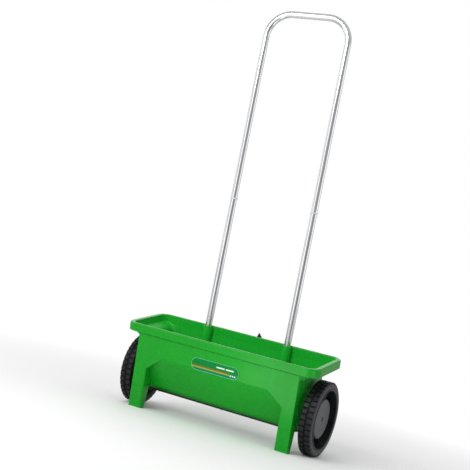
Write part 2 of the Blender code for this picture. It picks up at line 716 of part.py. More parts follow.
def make_lever(model, material, steel):
    half = LEVER_THICKNESS / 2
    centre = (LEVER_PIVOT.x, LEVER_FRONT_Y + half, LEVER_PIVOT.z)
    blade = slab_mesh("dosing_lever", lever_outline(), "xz", -half, half)
    lever = model.part("dosing_lever", blade, material, centre, (0, -LEVER_REST, 0))
    bore = cylinder_mesh("lever_hole", 0.0034, "y", -0.01, 0.01, sides=16)
    model.cut(lever, "lever_hole", bore, centre)
    place = (LEVER_PIVOT.x, 0, LEVER_PIVOT.z)
    rear_y_face = LEVER_FRONT_Y + LEVER_THICKNESS
    for name, low, high in (("lever_washer_front", 0.0891, LEVER_FRONT_Y - GAP),
                            ("lever_washer_rear", rear_y_face + GAP, rear_y_face + 0.0014)):
        washer = model.part(name, cylinder_mesh(name, 0.0080, "y", low, high, place, 16), steel)
        model.cut(washer, f"bore_{name}", cylinder_mesh("bore", 0.0029, "y", 0.05, 0.12, place, 16))
    head_y = rear_y_face + 0.0014 + GAP
    mesh, sides = screw_mesh("lever_pivot_bolt", 0.0024, head_y - 0.0715, 0.0052, 0.0035, 16)
    place = (LEVER_PIVOT.x, head_y, LEVER_PIVOT.z)
    bolt = model.part("lever_pivot_bolt", mesh, steel, place, (-math.pi / 2, 0, 0))
    add_screw(bolt, sides)


def main():
    clear_scene()
    model = Model("garden_spreader")
    green = make_material("green_plastic", (0.030, 0.330, 0.032), 0.32)
    black = make_material("black_plastic", (0.022, 0.022, 0.025), 0.50)
    grey = make_material("hub_cap_grey", (0.090, 0.090, 0.100), 0.45)
    white = make_material("roller_plastic", (0.700, 0.700, 0.680), 0.50)
    label = make_material("label_film", (0.010, 0.260, 0.090), 0.30)
    tube = make_material("bright_tube", (0.800, 0.810, 0.820), 0.20, 1.0)
    ring = make_material("ring_plastic", (0.620, 0.630, 0.640), 0.40)
    steel = make_material("zinc_steel", (0.600, 0.610, 0.620), 0.35, 1.0)
    make_hopper(model, green)
    make_labels(model, label)
    make_handle(model, tube, ring, steel)
    make_axle(model, steel)
    make_roller(model, white, steel)
    pin = cylinder_mesh("drive_pin", PIN_RADIUS, "z", -0.0118, 0.0118, (DRIVE_PIN_X, 0, 0), 8)
    model.part("drive_pin", pin, steel)
    make_bushes(model, white, steel)
    make_wheel(model, "left", -1, black, grey)
    make_wheel(model, "right", 1, black, grey)
    make_slide(model, black, steel)
    make_lever(model, black, steel)


main()
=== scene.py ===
import json
from math import atan, atan2, copysign, cos, pi, radians, sin, tan, tau

import bmesh
import bpy
from mathutils import Euler, Matrix, Vector


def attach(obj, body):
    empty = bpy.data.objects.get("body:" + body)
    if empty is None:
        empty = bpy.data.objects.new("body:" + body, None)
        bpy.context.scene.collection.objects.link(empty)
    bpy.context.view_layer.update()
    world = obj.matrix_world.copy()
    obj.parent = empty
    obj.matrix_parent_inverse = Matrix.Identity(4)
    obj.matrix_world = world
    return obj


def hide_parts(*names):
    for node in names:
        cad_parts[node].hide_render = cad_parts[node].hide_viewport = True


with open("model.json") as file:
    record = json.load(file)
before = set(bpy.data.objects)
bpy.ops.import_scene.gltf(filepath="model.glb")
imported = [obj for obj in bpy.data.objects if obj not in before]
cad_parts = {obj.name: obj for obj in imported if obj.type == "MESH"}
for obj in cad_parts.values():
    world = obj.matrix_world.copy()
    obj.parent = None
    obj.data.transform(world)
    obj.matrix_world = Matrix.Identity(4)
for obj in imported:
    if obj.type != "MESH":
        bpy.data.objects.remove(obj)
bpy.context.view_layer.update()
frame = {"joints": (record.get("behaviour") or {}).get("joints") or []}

scene = bpy.context.scene
# Everything is drawn as the hopper stands upright: axle at the origin, +X right, -Y front, +Z up.
# toRow then tips it forward on to its feet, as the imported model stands.
joints = {joint["name"]: joint for joint in frame["joints"]}
axlePoint = Vector(joints["axle_spin"]["pos_m"])
leverAxis = joints["lever_turn"]["axis"]
tip = atan2(leverAxis[2], leverAxis[1])
toRow = Matrix.Translation(axlePoint) @ Matrix.Rotation(tip, 4, "X")
lean = radians(6.77)  # how far the rear wall and the handle lean back
sides = (("Left", "left", -1), ("Right", "right", 1))
toRear = (0, 0, pi / 2)  # turns a shape drawn along +X to +Y
toFloor = (0, pi / 2, 0)  # turns a shape drawn along +X to -Z
tubeX = 0.1173  # half the distance between the handle's two tubes
tubeLine = Matrix.Translation((0, 0.07, 0.142)) @ Matrix.Rotation(-lean, 4, "X")
pivot = Vector((0.0378, 0, 0.03))  # the lever's pivot
axleHole = 0.0053  # radius of the holes that the axle runs through
weld = 2e-6  # corners closer than this become one
smoothAngle = 32  # degrees: edges sharper than this stay crisp
thinBlur = 0.00005  # how soft a printed edge is


def vertsOf(geom):
    return [part for part in geom if isinstance(part, bmesh.types.BMVert)]


def edgesOf(geom):
    return [part for part in geom if isinstance(part, bmesh.types.BMEdge)]


def faced(bm):
    # weld the seams, then point every face outwards
    bmesh.ops.remove_doubles(bm, verts=bm.verts, dist=weld)
    bmesh.ops.recalc_face_normals(bm, faces=bm.faces)
    if bm.calc_volume(signed=True) < 0:
        bmesh.ops.reverse_faces(bm, faces=bm.faces)
    return bm


def bevelled(bm, geom, width, segments, affect="EDGES", clamped=False):
    bmesh.ops.bevel(bm, geom=geom, offset=width, offset_type="OFFSET", segments=segments, profile=0.5,
                    affect=affect, material=-1, clamp_overlap=clamped)
    return bm


def edged(bm, width, segments=2, angle=25, where=None, onlyLevel=False):
    # round the edges that are sharper than the angle, all of them or those that where picks
    picked = []
    for edge in bm.edges:
        start, end = (vert.co for vert in edge.verts)
        sharp = len(edge.link_faces) == 2 and edge.calc_face_angle(0) > radians(angle)
        if sharp and not (onlyLevel and abs(start.z - end.z) >= 1e-5):
            if where is None or where((start + end) / 2):
                picked.append(edge)
    return bevelled(bm, picked, width, segments, clamped=True)


def block(low, high, width=0, segments=2):
    bm = bmesh.new()
    bmesh.ops.create_cube(bm, size=1)
    low, high = Vector(low), Vector(high)
    bm.transform(Matrix.Translation((low + high) / 2) @ Matrix.Diagonal((*(high - low), 1)))
    return edged(bm, width, segments) if width else bm


def turned(section, steps=48, closed=True):
    # (radius, x) corners of a section, spun about the X axis
    bm = bmesh.new()
    verts = [bm.verts.new((x, 0, radius)) for radius, x in section]
    edges = [bm.edges.new(pair) for pair in zip(verts, verts[1:])]
    if closed:
        edges.append(bm.edges.new((verts[-1], verts[0])))
    bmesh.ops.spin(bm, geom=verts + edges, cent=(0, 0, 0), axis=(1, 0, 0), dvec=(0, 0, 0),
                   angle=tau, steps=steps, use_merge=True)
    return faced(bm)


def ring(inner, outer, low, high, w=0.0002, steps=48):
    return turned([(inner, low + w), (inner, high - w), (inner + w, high), (outer - w, high),
                   (outer, high - w), (outer, low + w), (outer - w, low), (inner + w, low)], steps)


def rod(radius, low, high, width=0.0003, steps=24):
    return turned([(0, low), (radius - width, low), (radius, low + width), (radius, high - width),
                   (radius - width, high), (0, high)], steps, closed=False)


def drill(radius, low, high, steps=40):
    # the tool for a hole: a rod with next to no chamfer
    return rod(radius, low, high, 0.0001, steps)


def bothSides(outline):
    # (x, z) corners, carried round to the other side
    return outline + [(-x, z) for x, z in reversed(outline)]


def bothEnds(section):
    # (radius, x) corners, carried round to the other end
    return section + [(radius, -x) for radius, x in reversed(section)]


def plate(outline, axis, low, high):
    # an outline made thick along X (drawn in Y, Z) or along Y (drawn in X, Z)
    bm = bmesh.new()
    alongX = axis == "x"
    verts = [bm.verts.new((low, u, v) if alongX else (u, low, v)) for u, v in outline]
    push = (high - low, 0, 0) if alongX else (0, high - low, 0)
    face = bm.faces.new(verts)
    made = bmesh.ops.extrude_face_region(bm, geom=[face], use_keep_orig=True)["geom"]
    bmesh.ops.translate(bm, vec=push, verts=vertsOf(made))
    return faced(bm)


def pill(length, height, depth, width=0.0002):
    # a plate with half-round ends, upright in X and Z, its rear face on y = 0
    bm = block((-length / 2, -depth, -height / 2), (length / 2, 0, height / 2))
    ends = [e for e in bm.edges if abs(e.verts[0].co.y - e.verts[1].co.y) > depth / 2]
    bevelled(bm, ends, height / 2 - 1e-5, 14)
    return edged(faced(bm), width, angle=60)


def meshOf(name, bm):
    mesh = bpy.data.meshes.new(name)
    bm.to_mesh(mesh)
    bm.free()
    return mesh


def joinedUp(*parts):
    bm = bmesh.new()
    for part in parts:
        mesh = meshOf("draft", part)
        bm.from_mesh(mesh)
        bpy.data.meshes.remove(mesh)
    return bm


def newObject(name, data):
    item = bpy.data.objects.new(name, data)
    scene.collection.objects.link(item)
    return item


def discard(item):
    mesh = item.data
    bpy.data.objects.remove(item, do_unlink=True)
    bpy.data.meshes.remove(mesh)


def applied(bm, kind, **settings):
    # run one modifier and hand back its result
    item = newObject("draft", meshOf("draft", bm))
    modifier = item.modifiers.new(kind, kind)
    for key, value in settings.items():
        setattr(modifier, key, value)
    bpy.context.view_layer.update()
    evaluated = item.evaluated_get(bpy.context.evaluated_depsgraph_get())
    result = bmesh.new()
    result.from_mesh(evaluated.to_mesh())
    discard(item)
    return result


def combined(bm, tools, operation):
    for tool in tools:
        item = newObject("draft", meshOf("draft", tool))
        bm = applied(bm, "BOOLEAN", operation=operation, solver="EXACT", object=item)
        discard(item)
    return bm


def cut(bm, *tools):
    return combined(bm, tools, "DIFFERENCE")


def grown(bm, *tools):
    return combined(bm, tools, "UNION")


def moved(bm, place=(0, 0, 0), turn=(0, 0, 0)):
    bm.transform(Matrix.Translation(place) @ Euler(turn).to_matrix().to_4x4())
    return bm


def mirrored(bm):
    # the same shape on the other side of the YZ plane
    bm.transform(Matrix.Diagonal((-1, 1, 1, 1)))
    bmesh.ops.reverse_faces(bm, faces=bm.faces)
    return bm


def onSide(bm, sign):
    return bm if sign > 0 else mirrored(bm)


def onTubes(bm, x=0.0):
    # a shape drawn along Z goes on to the handle's line, measured from the hopper's rim
    bm.transform(Matrix.Translation((x, 0, 0)) @ tubeLine)
    return bm


def alongTube(bm, x):
    # the same for a shape drawn along X
    bm.transform(Matrix.Translation((x, 0, 0)) @ tubeLine @ Matrix.Rotation(-pi / 2, 4, "Y"))
    return bm


def finished(name, bm, material, body, node):
    bm.transform(toRow)
    mesh = meshOf(name, bm)
    mesh.materials.append(material)
    mesh.shade_smooth()
    mesh.set_sharp_from_angle(angle=radians(smoothAngle))
    piece = newObject(name, mesh)
    piece.modifiers.new("Shading", "WEIGHTED_NORMAL").keep_sharp = True
    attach(piece, body)
    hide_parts(node)


class Wire:  # one socket, with the operators that shader maths needs
    def __init__(self, finish, socket):
        self.finish = finish
        self.socket = socket

    def maths(self, operation, first, second=0.0):
        return self.finish.node("ShaderNodeMath", {"operation": operation}, {0: first, 1: second})

    def __add__(self, other):
        return self.maths("ADD", self, other)

    def __mul__(self, other):
        return self.maths("MULTIPLY", self, other)

    def __sub__(self, other):
        return self.maths("SUBTRACT", self, other)

    def __rsub__(self, other):
        return self.maths("SUBTRACT", other, self)

    def __pow__(self, other):
        return self.maths("POWER", self, other)

    def __mod__(self, other):
        return self.maths("FLOORED_MODULO", self, other)

    def __abs__(self):
        return self.maths("ABSOLUTE", self)

    __radd__ = __add__
    __rmul__ = __mul__

    def atLeast(self, low):
        return self.maths("MAXIMUM", self, low)

    def over(self, edge, blur=thinBlur):
        # 0 below the edge and 1 above it, with a narrow blur
        settings = {"interpolation_type": "SMOOTHSTEP"}
        values = {"Value": self, "From Min": edge - blur, "From Max": edge + blur}
        return self.finish.node("ShaderNodeMapRange", settings, values)

    def fit(self, low, high, to=(0, 1)):
        values = {"Value": self, "From Min": low, "From Max": high, "To Min": to[0], "To Max": to[1]}
        return self.finish.node("ShaderNodeMapRange", {}, values)

    def within(self, low, high):
        return self.over(low) * (1 - self.over(high))


class Nodes:  # a node tree and the ways to add to it
    def __init__(self, tree):
        self.tree = tree

    def feed(self, socket, value):
        if isinstance(value, Wire):
            self.tree.links.new(value.socket, socket)
        else:
            socket.default_value = value

    def node(self, kind, settings, values, output=0):
        made = self.tree.nodes.new(kind)
        for key, value in settings.items():
            setattr(made, key, value)
        for key, value in values.items():
            self.feed(made.inputs[key], value)
        return Wire(self, made.outputs[output])


class Finish(Nodes):  # one material and its nodes
    def __init__(self, name, roughness=0.5, metallic=0.0, specular=0.5):
        self.material = bpy.data.materials.new(name)
        self.material.use_nodes = True
        super().__init__(self.material.node_tree)
        self.shader = self.tree.nodes["Principled BSDF"]
        fixed = {"Roughness": roughness, "Metallic": metallic, "Specular IOR Level": specular}
        for key, value in fixed.items():
            self.shader.inputs[key].default_value = value

    def place(self, centre=(0, 0, 0), turn=(0, 0, 0), stretch=(1, 1, 1)):
        # object coordinates seen from a piece's own centre and turn
        coords = self.node("ShaderNodeTexCoord", {}, {}, "Object")
        values = {"Vector": coords, "Location": centre, "Rotation": turn, "Scale": stretch}
        return self.node("ShaderNodeMapping", {"vector_type": "TEXTURE"}, values)

    def parts(self, vector):
        return [self.node("ShaderNodeSeparateXYZ", {}, {0: vector}, i) for i in range(3)]

    def noise(self, vector, scale, detail=2, roughness=0.5):
        values = {"Vector": vector, "Scale": scale, "Detail": detail, "Roughness": roughness}
        return self.node("ShaderNodeTexNoise", {}, values)

    def mix(self, factor, low, high):
        return self.node("ShaderNodeMix", {"data_type": "RGBA"}, {0: factor, 6: low, 7: high}, 2)

    def bump(self, height, strength, distance):
        values = {"Height": height, "Strength": strength, "Distance": distance}
        self.feed(self.shader.inputs["Normal"], self.node("ShaderNodeBump", {}, values))

    def paint(self, colour, rough=None):
        self.feed(self.shader.inputs["Base Color"], colour)
        if rough is not None:
            self.feed(self.shader.inputs["Roughness"], rough)
        return self.material


def tint(red, green, blue):
    return (red, green, blue, 1)


def dimmer(colour, share):
    return tint(*(share * part for part in colour[:3]))


# noise is given as scale, detail and roughness
moulding = {
    "clouds": (9, 3, 0.6), "patches": (46, 4, 0.65), "grains": (1500, 2, 0.6), "scratches": (14, 3, 0.7),
    "scratchTurn": (0.3, 0.5, 0.2), "scratchStretch": (0.22, 0.02, 0.02),
    "cloudShade": 0.9, "scuffShade": 0.35, "scuffRough": 0.12, "bumpDepth": 0.0004,
}


def mouldedPlastic(name, colour, worn, roughness, specular, grain=0.25, dust=0.06, dustAndPaintedLight=None):
    # moulded plastic: cloudy tone, a fine grain, faint scuffs and a little dust; an inside colour, where
    # given, is painted light: the hopper's inside faces painted lighter to stand in for light falling there
    g = moulding
    finish = Finish(name, specular=specular)
    here = finish.place()
    clouds, patches, grains = (finish.noise(here, *g[key]) for key in ("clouds", "patches", "grains"))
    scratches = finish.noise(finish.place((0, 0, 0), g["scratchTurn"], g["scratchStretch"]), *g["scratches"])
    scuffs = scratches.fit(0.6, 0.74) * patches.fit(0.45, 0.65)
    shade = finish.mix(clouds.fit(0.3, 0.7), colour, dimmer(colour, g["cloudShade"]))
    shade = finish.mix(scuffs * g["scuffShade"] + patches.fit(0.58, 0.8) * dust, shade, worn)
    # painted light: the hopper's inside faces take the lighter inside colour
    if dustAndPaintedLight:
        shade = finish.mix(paintedInsideLightMask(finish), shade, dustAndPaintedLight)
    rough = roughness + clouds.fit(0.3, 0.7, (-0.03, 0.04)) + patches.fit(0.4, 0.7, (0, 0.05)) \
        + scuffs * g["scuffRough"]
    finish.bump(grains * 0.5 + scuffs * 0.3 + patches * 0.25, grain, g["bumpDepth"])
    return finish.paint(shade, rough)


drawing = {"lines": (900, 2, 0.5), "clouds": (16, 4, 0.6), "specks": (260, 3, 0.6), "cloudShade": 0.82,
           "grime": tint(0.2, 0.19, 0.17), "bumpStrength": 0.02, "bumpDepth": 0.0001}


def groundMetal(name, colour, roughness, turn, lengthwise, grime):
    # drawn metal: fine lines along Z of the given turn, faint water marks and specks
    g = drawing
    finish = Finish(name, metallic=1.0)
    lines = finish.noise(finish.place((0, 0, 0), turn, (1, 1, lengthwise)), *g["lines"])
    here = finish.place()
    clouds, specks = (finish.noise(here, *g[key]) for key in ("clouds", "specks"))
    marks = specks.fit(0.62, 0.74) * clouds.fit(0.4, 0.62)
    faded = clouds.fit(0.35, 0.7) * 0.35 + lines.fit(0.4, 0.6) * 0.1
    shade = finish.mix(faded, colour, dimmer(colour, g["cloudShade"]))
    shade = finish.mix(marks * grime, shade, g["grime"])
    rough = roughness + clouds.fit(0.3, 0.7, (-0.02, 0.03)) + marks * 0.15 + lines.fit(0.3, 0.7, (0, 0.02))
    finish.bump(lines, g["bumpStrength"], g["bumpDepth"])
    return finish.paint(shade, rough)


hopper = {
    "half": 0.2275, "wall": 0.003, "troughRadius": 0.0335, "outlets": 14, "outletPitch": 0.03,
    "outletHalf": (0.006, 0.005),
    "rimHalf": 0.2706, "rimFront": -0.1016, "rimRear": 0.0837, "rimCorner": 0.03, "rimTop": 0.1418,
    "rimBottom": 0.1205, "rimRound": 0.004, "rimUnderRound": 0.0007, "mouthRound": 0.0026,
    "mouth": (0.2566, -0.0916, 0.0735, 0.018), "mouthEdge": (0.2572, -0.0922, 0.0741),
    # half length, front, rear, corner radius and height, from the mouth down
    "ledge": ((0.2546, -0.0937, 0.0735, 0.0165, 0.1262), (0.2538, -0.0939, 0.0735, 0.0158, 0.124),
              (0.2515, -0.094, 0.0735, 0.015, 0.1228), (0.242, -0.0944, 0.0734, 0.0132, 0.1198),
              (0.234, -0.0948, 0.0731, 0.012, 0.1156), (0.2284, -0.0952, 0.0724, 0.011, 0.1098),
              (0.2249, -0.0957, 0.0714, 0.01, 0.101)),
    "recessTop": 0.066, "recessRound": 0.006, "slope": 0.437,
    "waist": 0.02, "waistRound": 0.01, "corner": 0.01, "troughTop": (-0.014, 0.046, 0.009),
    # degrees round the trough, and the corner radius there
    "troughRings": ((-30, 0.009), (-38, 0.008), (-46, 0.007), (-55, 0.006), (-65, 0.005), (-76, 0.004)),
}
panel = {"y": -0.0985, "top": 0.121, "run": 0.0075, "drop": 0.1946}
inside = {"half": 0.2262, "ledgeEnd": 0.256, "ledgeRise": 0.62, "ledgeFoot": -0.0357, "front": -0.0965,
          "slopeMiddle": -0.0702, "rear": 0.0608, "top": 0.1395, "bottom": -0.033}


def frontY(z):
    # the front panel's plane, from the rim down to the feet
    return panel["y"] - panel["run"] * (panel["top"] - z) / panel["drop"]


def slopeY(z):
    # the outside of the lower front wall, which runs back under the panel
    return frontY(hopper["recessTop"]) + hopper["slope"] * (hopper["recessTop"] - z)


def rearY(z):
    return 0.0735 + tan(lean) * (z - 0.12)


def paintedInsideLightMask(finish):
    # painted light mask: 1 on the hopper's inside faces, which are painted lighter to stand in for the light
    # there, 0 on the outside and on the rim
    g = inside
    x, y, z = finish.parts(finish.place(axlePoint, (tip, 0, 0)))
    wide = abs(x)
    ledges = wide.within(-1, g["ledgeEnd"]) * (z - wide * g["ledgeRise"]).over(g["ledgeFoot"], 0.0004)
    between = (1 - wide.over(g["half"])) + ledges * wide.over(g["half"])
    rear = 1 - (y - z * tan(lean)).over(g["rear"], 0.0003)
    front = y.over(g["front"], 0.0003) * (y + z * hopper["slope"]).over(g["slopeMiddle"], 0.0003)
    return between * front * rear * (1 - z.over(g["top"], 0.001)) * z.over(g["bottom"])


def level(half, front, rear, corner, z):
    return {"half": half, "front": front, "rear": rear, "corner": corner, "z": z}


def cornerCentre(at, co):
    x = copysign(at["half"] - at["corner"], co.x)
    rear = co.y > (at["front"] + at["rear"]) / 2
    return Vector((x, at["rear"] - at["corner"] if rear else at["front"] + at["corner"], at["z"]))


def firstRing(bm, at):
    # a rectangle with its four corners rounded, kept as a ring of edges
    bmesh.ops.create_grid(bm, x_segments=1, y_segments=1, size=0.5)
    size = (at["half"] * 2, at["rear"] - at["front"], 1, 1)
    bm.transform(Matrix.Translation((0, (at["front"] + at["rear"]) / 2, at["z"])) @ Matrix.Diagonal(size))
    bevelled(bm, list(bm.verts), at["corner"], 8, "VERTICES")
    bmesh.ops.delete(bm, geom=list(bm.faces), context="FACES_ONLY")
    return list(bm.edges)


def nextRing(bm, edges, now, then):
    # push the open ring on to the next level, corner by corner
    made = bmesh.ops.extrude_edge_only(bm, edges=edges)["geom"]
    for vert in vertsOf(made):
        reach = (vert.co - cornerCentre(now, vert.co)) * (then["corner"] / now["corner"])
        vert.co = cornerCentre(then, vert.co) + reach
    return edgesOf(made)


def hopperLevels():
    # from the rim's lower edge over its top, then down the inside to the trough's floor
    g = hopper
    inner = g["half"] - g["wall"]
    slant = g["wall"] * 1.09  # the wall's thickness, measured along Y where it slopes
    rim = (g["rimHalf"], g["rimFront"], g["rimRear"], g["rimCorner"])
    top, waist, corner = g["recessTop"], g["waist"], g["corner"]
    low, lowRear, lowCorner = g["troughTop"]
    levels = [level(*rim, g["rimBottom"]), level(*rim, g["rimTop"]), level(*g["mouth"], g["rimTop"])]
    levels += [level(*row) for row in g["ledge"]]
    levels += [level(inner, frontY(top) + g["wall"], rearY(top), corner, top),
               level(inner, slopeY(waist) + slant, rearY(waist), corner, waist),
               level(inner, slopeY(low) + slant, lowRear, lowCorner, low)]
    for degrees, ringCorner in g["troughRings"]:
        reach = g["troughRadius"] * cos(radians(degrees))
        z = g["troughRadius"] * sin(radians(degrees))
        levels.append(level(inner, -reach, reach, ringCorner, z))
    return levels


def hopperShell():
    g = hopper
    levels = hopperLevels()
    bm = bmesh.new()
    edges = firstRing(bm, levels[0])
    for now, then in zip(levels, levels[1:]):
        edges = nextRing(bm, edges, now, then)
    bmesh.ops.holes_fill(bm, edges=edges, sides=0)
    bmesh.ops.remove_doubles(bm, verts=bm.verts, dist=weld)
    bmesh.ops.recalc_face_normals(bm, faces=bm.faces)
    top = max(bm.faces, key=lambda face: face.calc_center_median().z)
    if top.normal.z < 0:
        bmesh.ops.reverse_faces(bm, faces=bm.faces)

    def rounded(z, width, segments, angle, where=None):
        # round the ring of level edges at that height
        def isThere(middle):
            return abs(middle.z - z) < 0.0004 and (where is None or where(middle))
        edged(bm, width, segments, angle, isThere, onlyLevel=True)

    def atMouth(middle):
        half, front, rear = g["mouthEdge"]
        return abs(middle.x) < half and front < middle.y < rear

    rounded(g["rimTop"], g["rimRound"], 5, 40, lambda middle: not atMouth(middle))
    rounded(g["rimTop"], g["mouthRound"], 4, 40, atMouth)
    rounded(g["recessTop"], g["recessRound"], 3, 10)
    rounded(g["waist"], g["waistRound"], 3, 10)
    bm = applied(bm, "SOLIDIFY", thickness=g["wall"], offset=-1.0)
    rounded(g["rimBottom"], g["rimUnderRound"], 2, 50)
    return bm


leg = {
    "top": 0.119, "thick": 0.0015, "shoulder": 0.075, "proud": 0.0004, "width": 0.035, "wall": 0.003,
    "toe": (-0.106, -0.0736), "heel": (-0.087, -0.0776), "hip": (-0.074, -0.021),
    "lap": 0.0012, "lapLow": -0.0225, "lapHigh": 0.03,  # where the panel sinks into the hopper's wall
    "archHalf": 0.15, "archTop": 0.065, "archRound": 0.005, "round": 0.0026, "backRound": 0.0016,
    "hollowTop": 0.042, "hollowFoot": -0.064, "hollowRear": -0.056, "hollowHip": (-0.0262, -0.0245),
    "line": (-0.0166, -0.0156), "lineDepth": 0.0006,  # the moulded line across both legs
}


def legSide():
    # side view of the front panel with a leg
    g = leg
    rear = frontY(g["top"]) + g["thick"]
    return [(frontY(g["top"]), g["top"]), g["toe"], g["heel"], g["hip"],
            (slopeY(g["lapLow"]) + g["lap"], g["lapLow"]), (slopeY(g["lapHigh"]) + g["lap"], g["lapHigh"]),
            (rear, g["shoulder"]), (rear, g["top"])]


def legHollow():
    g = leg
    top, foot, (low, high) = g["hollowTop"], g["hollowFoot"], g["hollowHip"]
    return [(frontY(top) + g["wall"], top), (frontY(foot) + g["wall"], foot), (g["hollowRear"], foot),
            (g["hollowRear"], low), (slopeY(high) - g["lap"], high), (slopeY(top) - g["lap"], top)]


def frontPanel():
    # panel and both legs in one, with the opening between the legs taken out
    g = leg
    half, inner = hopper["half"] + g["proud"], hopper["half"] - g["width"]
    arch = [(inner, -0.12), (inner, g["lapHigh"]), (g["archHalf"], hopper["recessTop"])]
    bm = cut(plate(legSide(), "x", -half, half), plate(bothSides(arch), "y", -0.2, 0.02))
    archEnd = g["archHalf"] + 0.001

    def onFront(middle):
        return middle.y < frontY(middle.z) + 0.0012 and middle.z < 0.1185

    def besideArch(middle):
        return onFront(middle) and archEnd < abs(middle.x) < 0.2 and middle.z < g["archTop"]

    def outerOrMiddle(middle):
        return onFront(middle) and (abs(middle.x) > 0.215 or abs(middle.x) < archEnd)

    def onFoot(middle):
        return middle.z < g["lapLow"] and middle.y > frontY(middle.z) + 0.006

    edged(bm, g["archRound"], 4, 40, besideArch)
    edged(bm, g["round"], 3, 40, outerOrMiddle)
    edged(bm, g["backRound"], 2, 40, onFoot)
    low, high = inner + g["wall"], hopper["half"] - g["wall"]
    bm = cut(bm, plate(legHollow(), "x", low, high), plate(legHollow(), "x", -high, -low))
    deep, front = g["lineDepth"], frontY(-0.016) + g["lineDepth"]
    groove = cut(block((-0.3, -0.12, g["line"][0]), (0.3, -0.06, g["line"][1])),
                 block((inner + deep, front, -0.03), (half - deep, -0.05, 0)),
                 block((-half + deep, front, -0.03), (-inner - deep, -0.05, 0)))
    return cut(bm, groove)


trough = {"radius": 0.0347, "wide": 0.027, "low": -0.037, "high": -0.0236, "half": 0.222, "round": 0.001}


def troughBase():
    # pad under the trough, with the screws' rails under it
    g = trough
    angles = [radians(degrees) for degrees in range(320, 219, -5)]
    hollow = [(cos(angle) * g["radius"], sin(angle) * g["radius"]) for angle in angles]
    wide, low, high = g["wide"], g["low"], g["high"]
    outline = [(wide, low), (wide, high)] + hollow + [(-wide, high), (-wide, low)]
    return edged(plate(outline, "x", -g["half"], g["half"]), g["round"], 2, 60)


def outletBoxes(low, high, offset=0.0):
    g = hopper
    wide, deep = g["outletHalf"]
    boxes = []
    for i in range(g["outlets"]):
        x = (i - (g["outlets"] - 1) / 2) * g["outletPitch"] + offset
        boxes.append(block((x - wide, -deep, low), (x + wide, deep, high)))
    return joinedUp(*boxes)


# the third, lighter green is painted light for the hopper's inside faces, not a colour of the plastic
green = mouldedPlastic("greenPlastic", tint(0.005, 0.325, 0.015), tint(0.03, 0.4, 0.05), 0.25, 0.25,
                       grain=0.06, dust=0.03, dustAndPaintedLight=tint(0.012, 0.425, 0.03))
# sockets and bosses on the hopper; a section is given as radius and place along it
fittings = {"socket": ((0, -0.114), (0.01, -0.114), (0.0132, -0.1115), (0.0132, -0.004),
                       (0.0124, -0.0016), (0.0, -0.0014)),
            "tubeBore": (0.0093, -0.105, 0.02), "bushBore": (0.0098, 0.2, 0.25),
            "axleBoss": (0.015, hopper["half"] - 0.0045, hopper["half"] + 0.001, 0.0004, 40),
            "leverBoss": (0.01, 0.0642, 0.0888, 0.0008, 40)}

body = hopperShell()
body = grown(body, frontPanel(), troughBase())
for _, _, sign in sides:
    socket = alongTube(turned(fittings["socket"], 40, closed=False), sign * tubeX)
    body = grown(body, socket, onSide(rod(*fittings["axleBoss"]), sign))
body = grown(body, moved(rod(*fittings["leverBoss"]), (pivot.x, 0, pivot.z), toRear))
for _, _, sign in sides:
    bore = alongTube(drill(*fittings["tubeBore"]), sign * tubeX)
    body = cut(body, bore, onSide(drill(*fittings["bushBore"]), sign))
body = cut(body, outletBoxes(-0.05, -0.025))
finished("hopperBody", body, green, "hopper_body", "hopper")
print("hopper done")

label = {
    "length": 0.136, "height": 0.032, "depth": 0.0006, "x": 0.003, "z": 0.081, "outline": (0.0004, 0.0016),
    "foot": -0.01, "amber": (-0.0056, -0.0024), "lime": (-0.0088, -0.0056), "stripeEnd": 0.041,
    "bars": (0.003, 0.0062), "barSpans": ((0.004, 0.027), (0.031, 0.052)),
    "dots": 3, "dotX": 0.0455, "dotZ": -0.0078, "dotPitch": 0.0058, "dotRadius": 0.0019,
}
labelTints = {
    "green": (tint(0.001, 0.185, 0.03), tint(0.0015, 0.215, 0.038)), "foot": tint(0.002, 0.165, 0.09),
    "amber": tint(0.19, 0.115, 0.006), "lime": tint(0.3, 0.37, 0.06), "outline": tint(0.13, 0.56, 0.24),
    "bars": tint(0.8, 0.88, 0.82), "dots": tint(0.75, 0.85, 0.78),
}
panelTilt = atan(panel["run"] / panel["drop"])


def glazed(finish, shade, patches, here, roughness):
    # the film's thin clear face, a little uneven
    finish.bump(finish.noise(here, 700, 2), 0.08, 0.0003)
    return finish.paint(shade, roughness + patches.fit(0.3, 0.7, (-0.03, 0.06)))


def labelFilm(centre, turn):
    # printed film: mint outline, amber and lime stripes, teal foot, two short bars and three dots
    g = label
    finish = Finish("labelFilm", specular=0.12)
    here = finish.place(centre, turn)
    x, _, z = finish.parts(here)
    beyond = (abs(x) - (g["length"] / 2 - g["height"] / 2)).atLeast(0.0)
    fromEdge = g["height"] / 2 - (beyond * beyond + z * z) ** 0.5
    patches = finish.noise(here, 120, 3, 0.6)
    striped = 1 - x.over(g["stripeEnd"])
    shade = finish.mix(patches.fit(0.3, 0.7), *labelTints["green"])
    shade = finish.mix(1 - z.over(g["foot"]), shade, labelTints["foot"])
    for stripe in ("amber", "lime"):
        shade = finish.mix(z.within(*g[stripe]) * striped, shade, labelTints[stripe])
    first, second = (x.within(*span) for span in g["barSpans"])
    shade = finish.mix(z.within(*g["bars"]) * (first + second) * 0.9, shade, labelTints["bars"])
    for i in range(g["dots"]):
        dx, dz = x - (g["dotX"] + g["dotPitch"] * i), z - g["dotZ"]
        dot = 1 - ((dx * dx + dz * dz) ** 0.5).over(g["dotRadius"])
        shade = finish.mix(dot, shade, labelTints["dots"])
    shade = finish.mix(fromEdge.within(*g["outline"]), shade, labelTints["outline"])
    return glazed(finish, shade, patches, here, 0.3)


scale = {
    "length": 0.074, "height": 0.014, "depth": 0.0008, "place": (pivot.x, 0.0851, 0.1295),
    "tickPitch": 0.005, "tickHalf": 0.0004, "ticksHalf": 0.0295, "shortest": 0.0012, "growth": 0.075,
    "start": 0.03, "drop": 0.001,
}


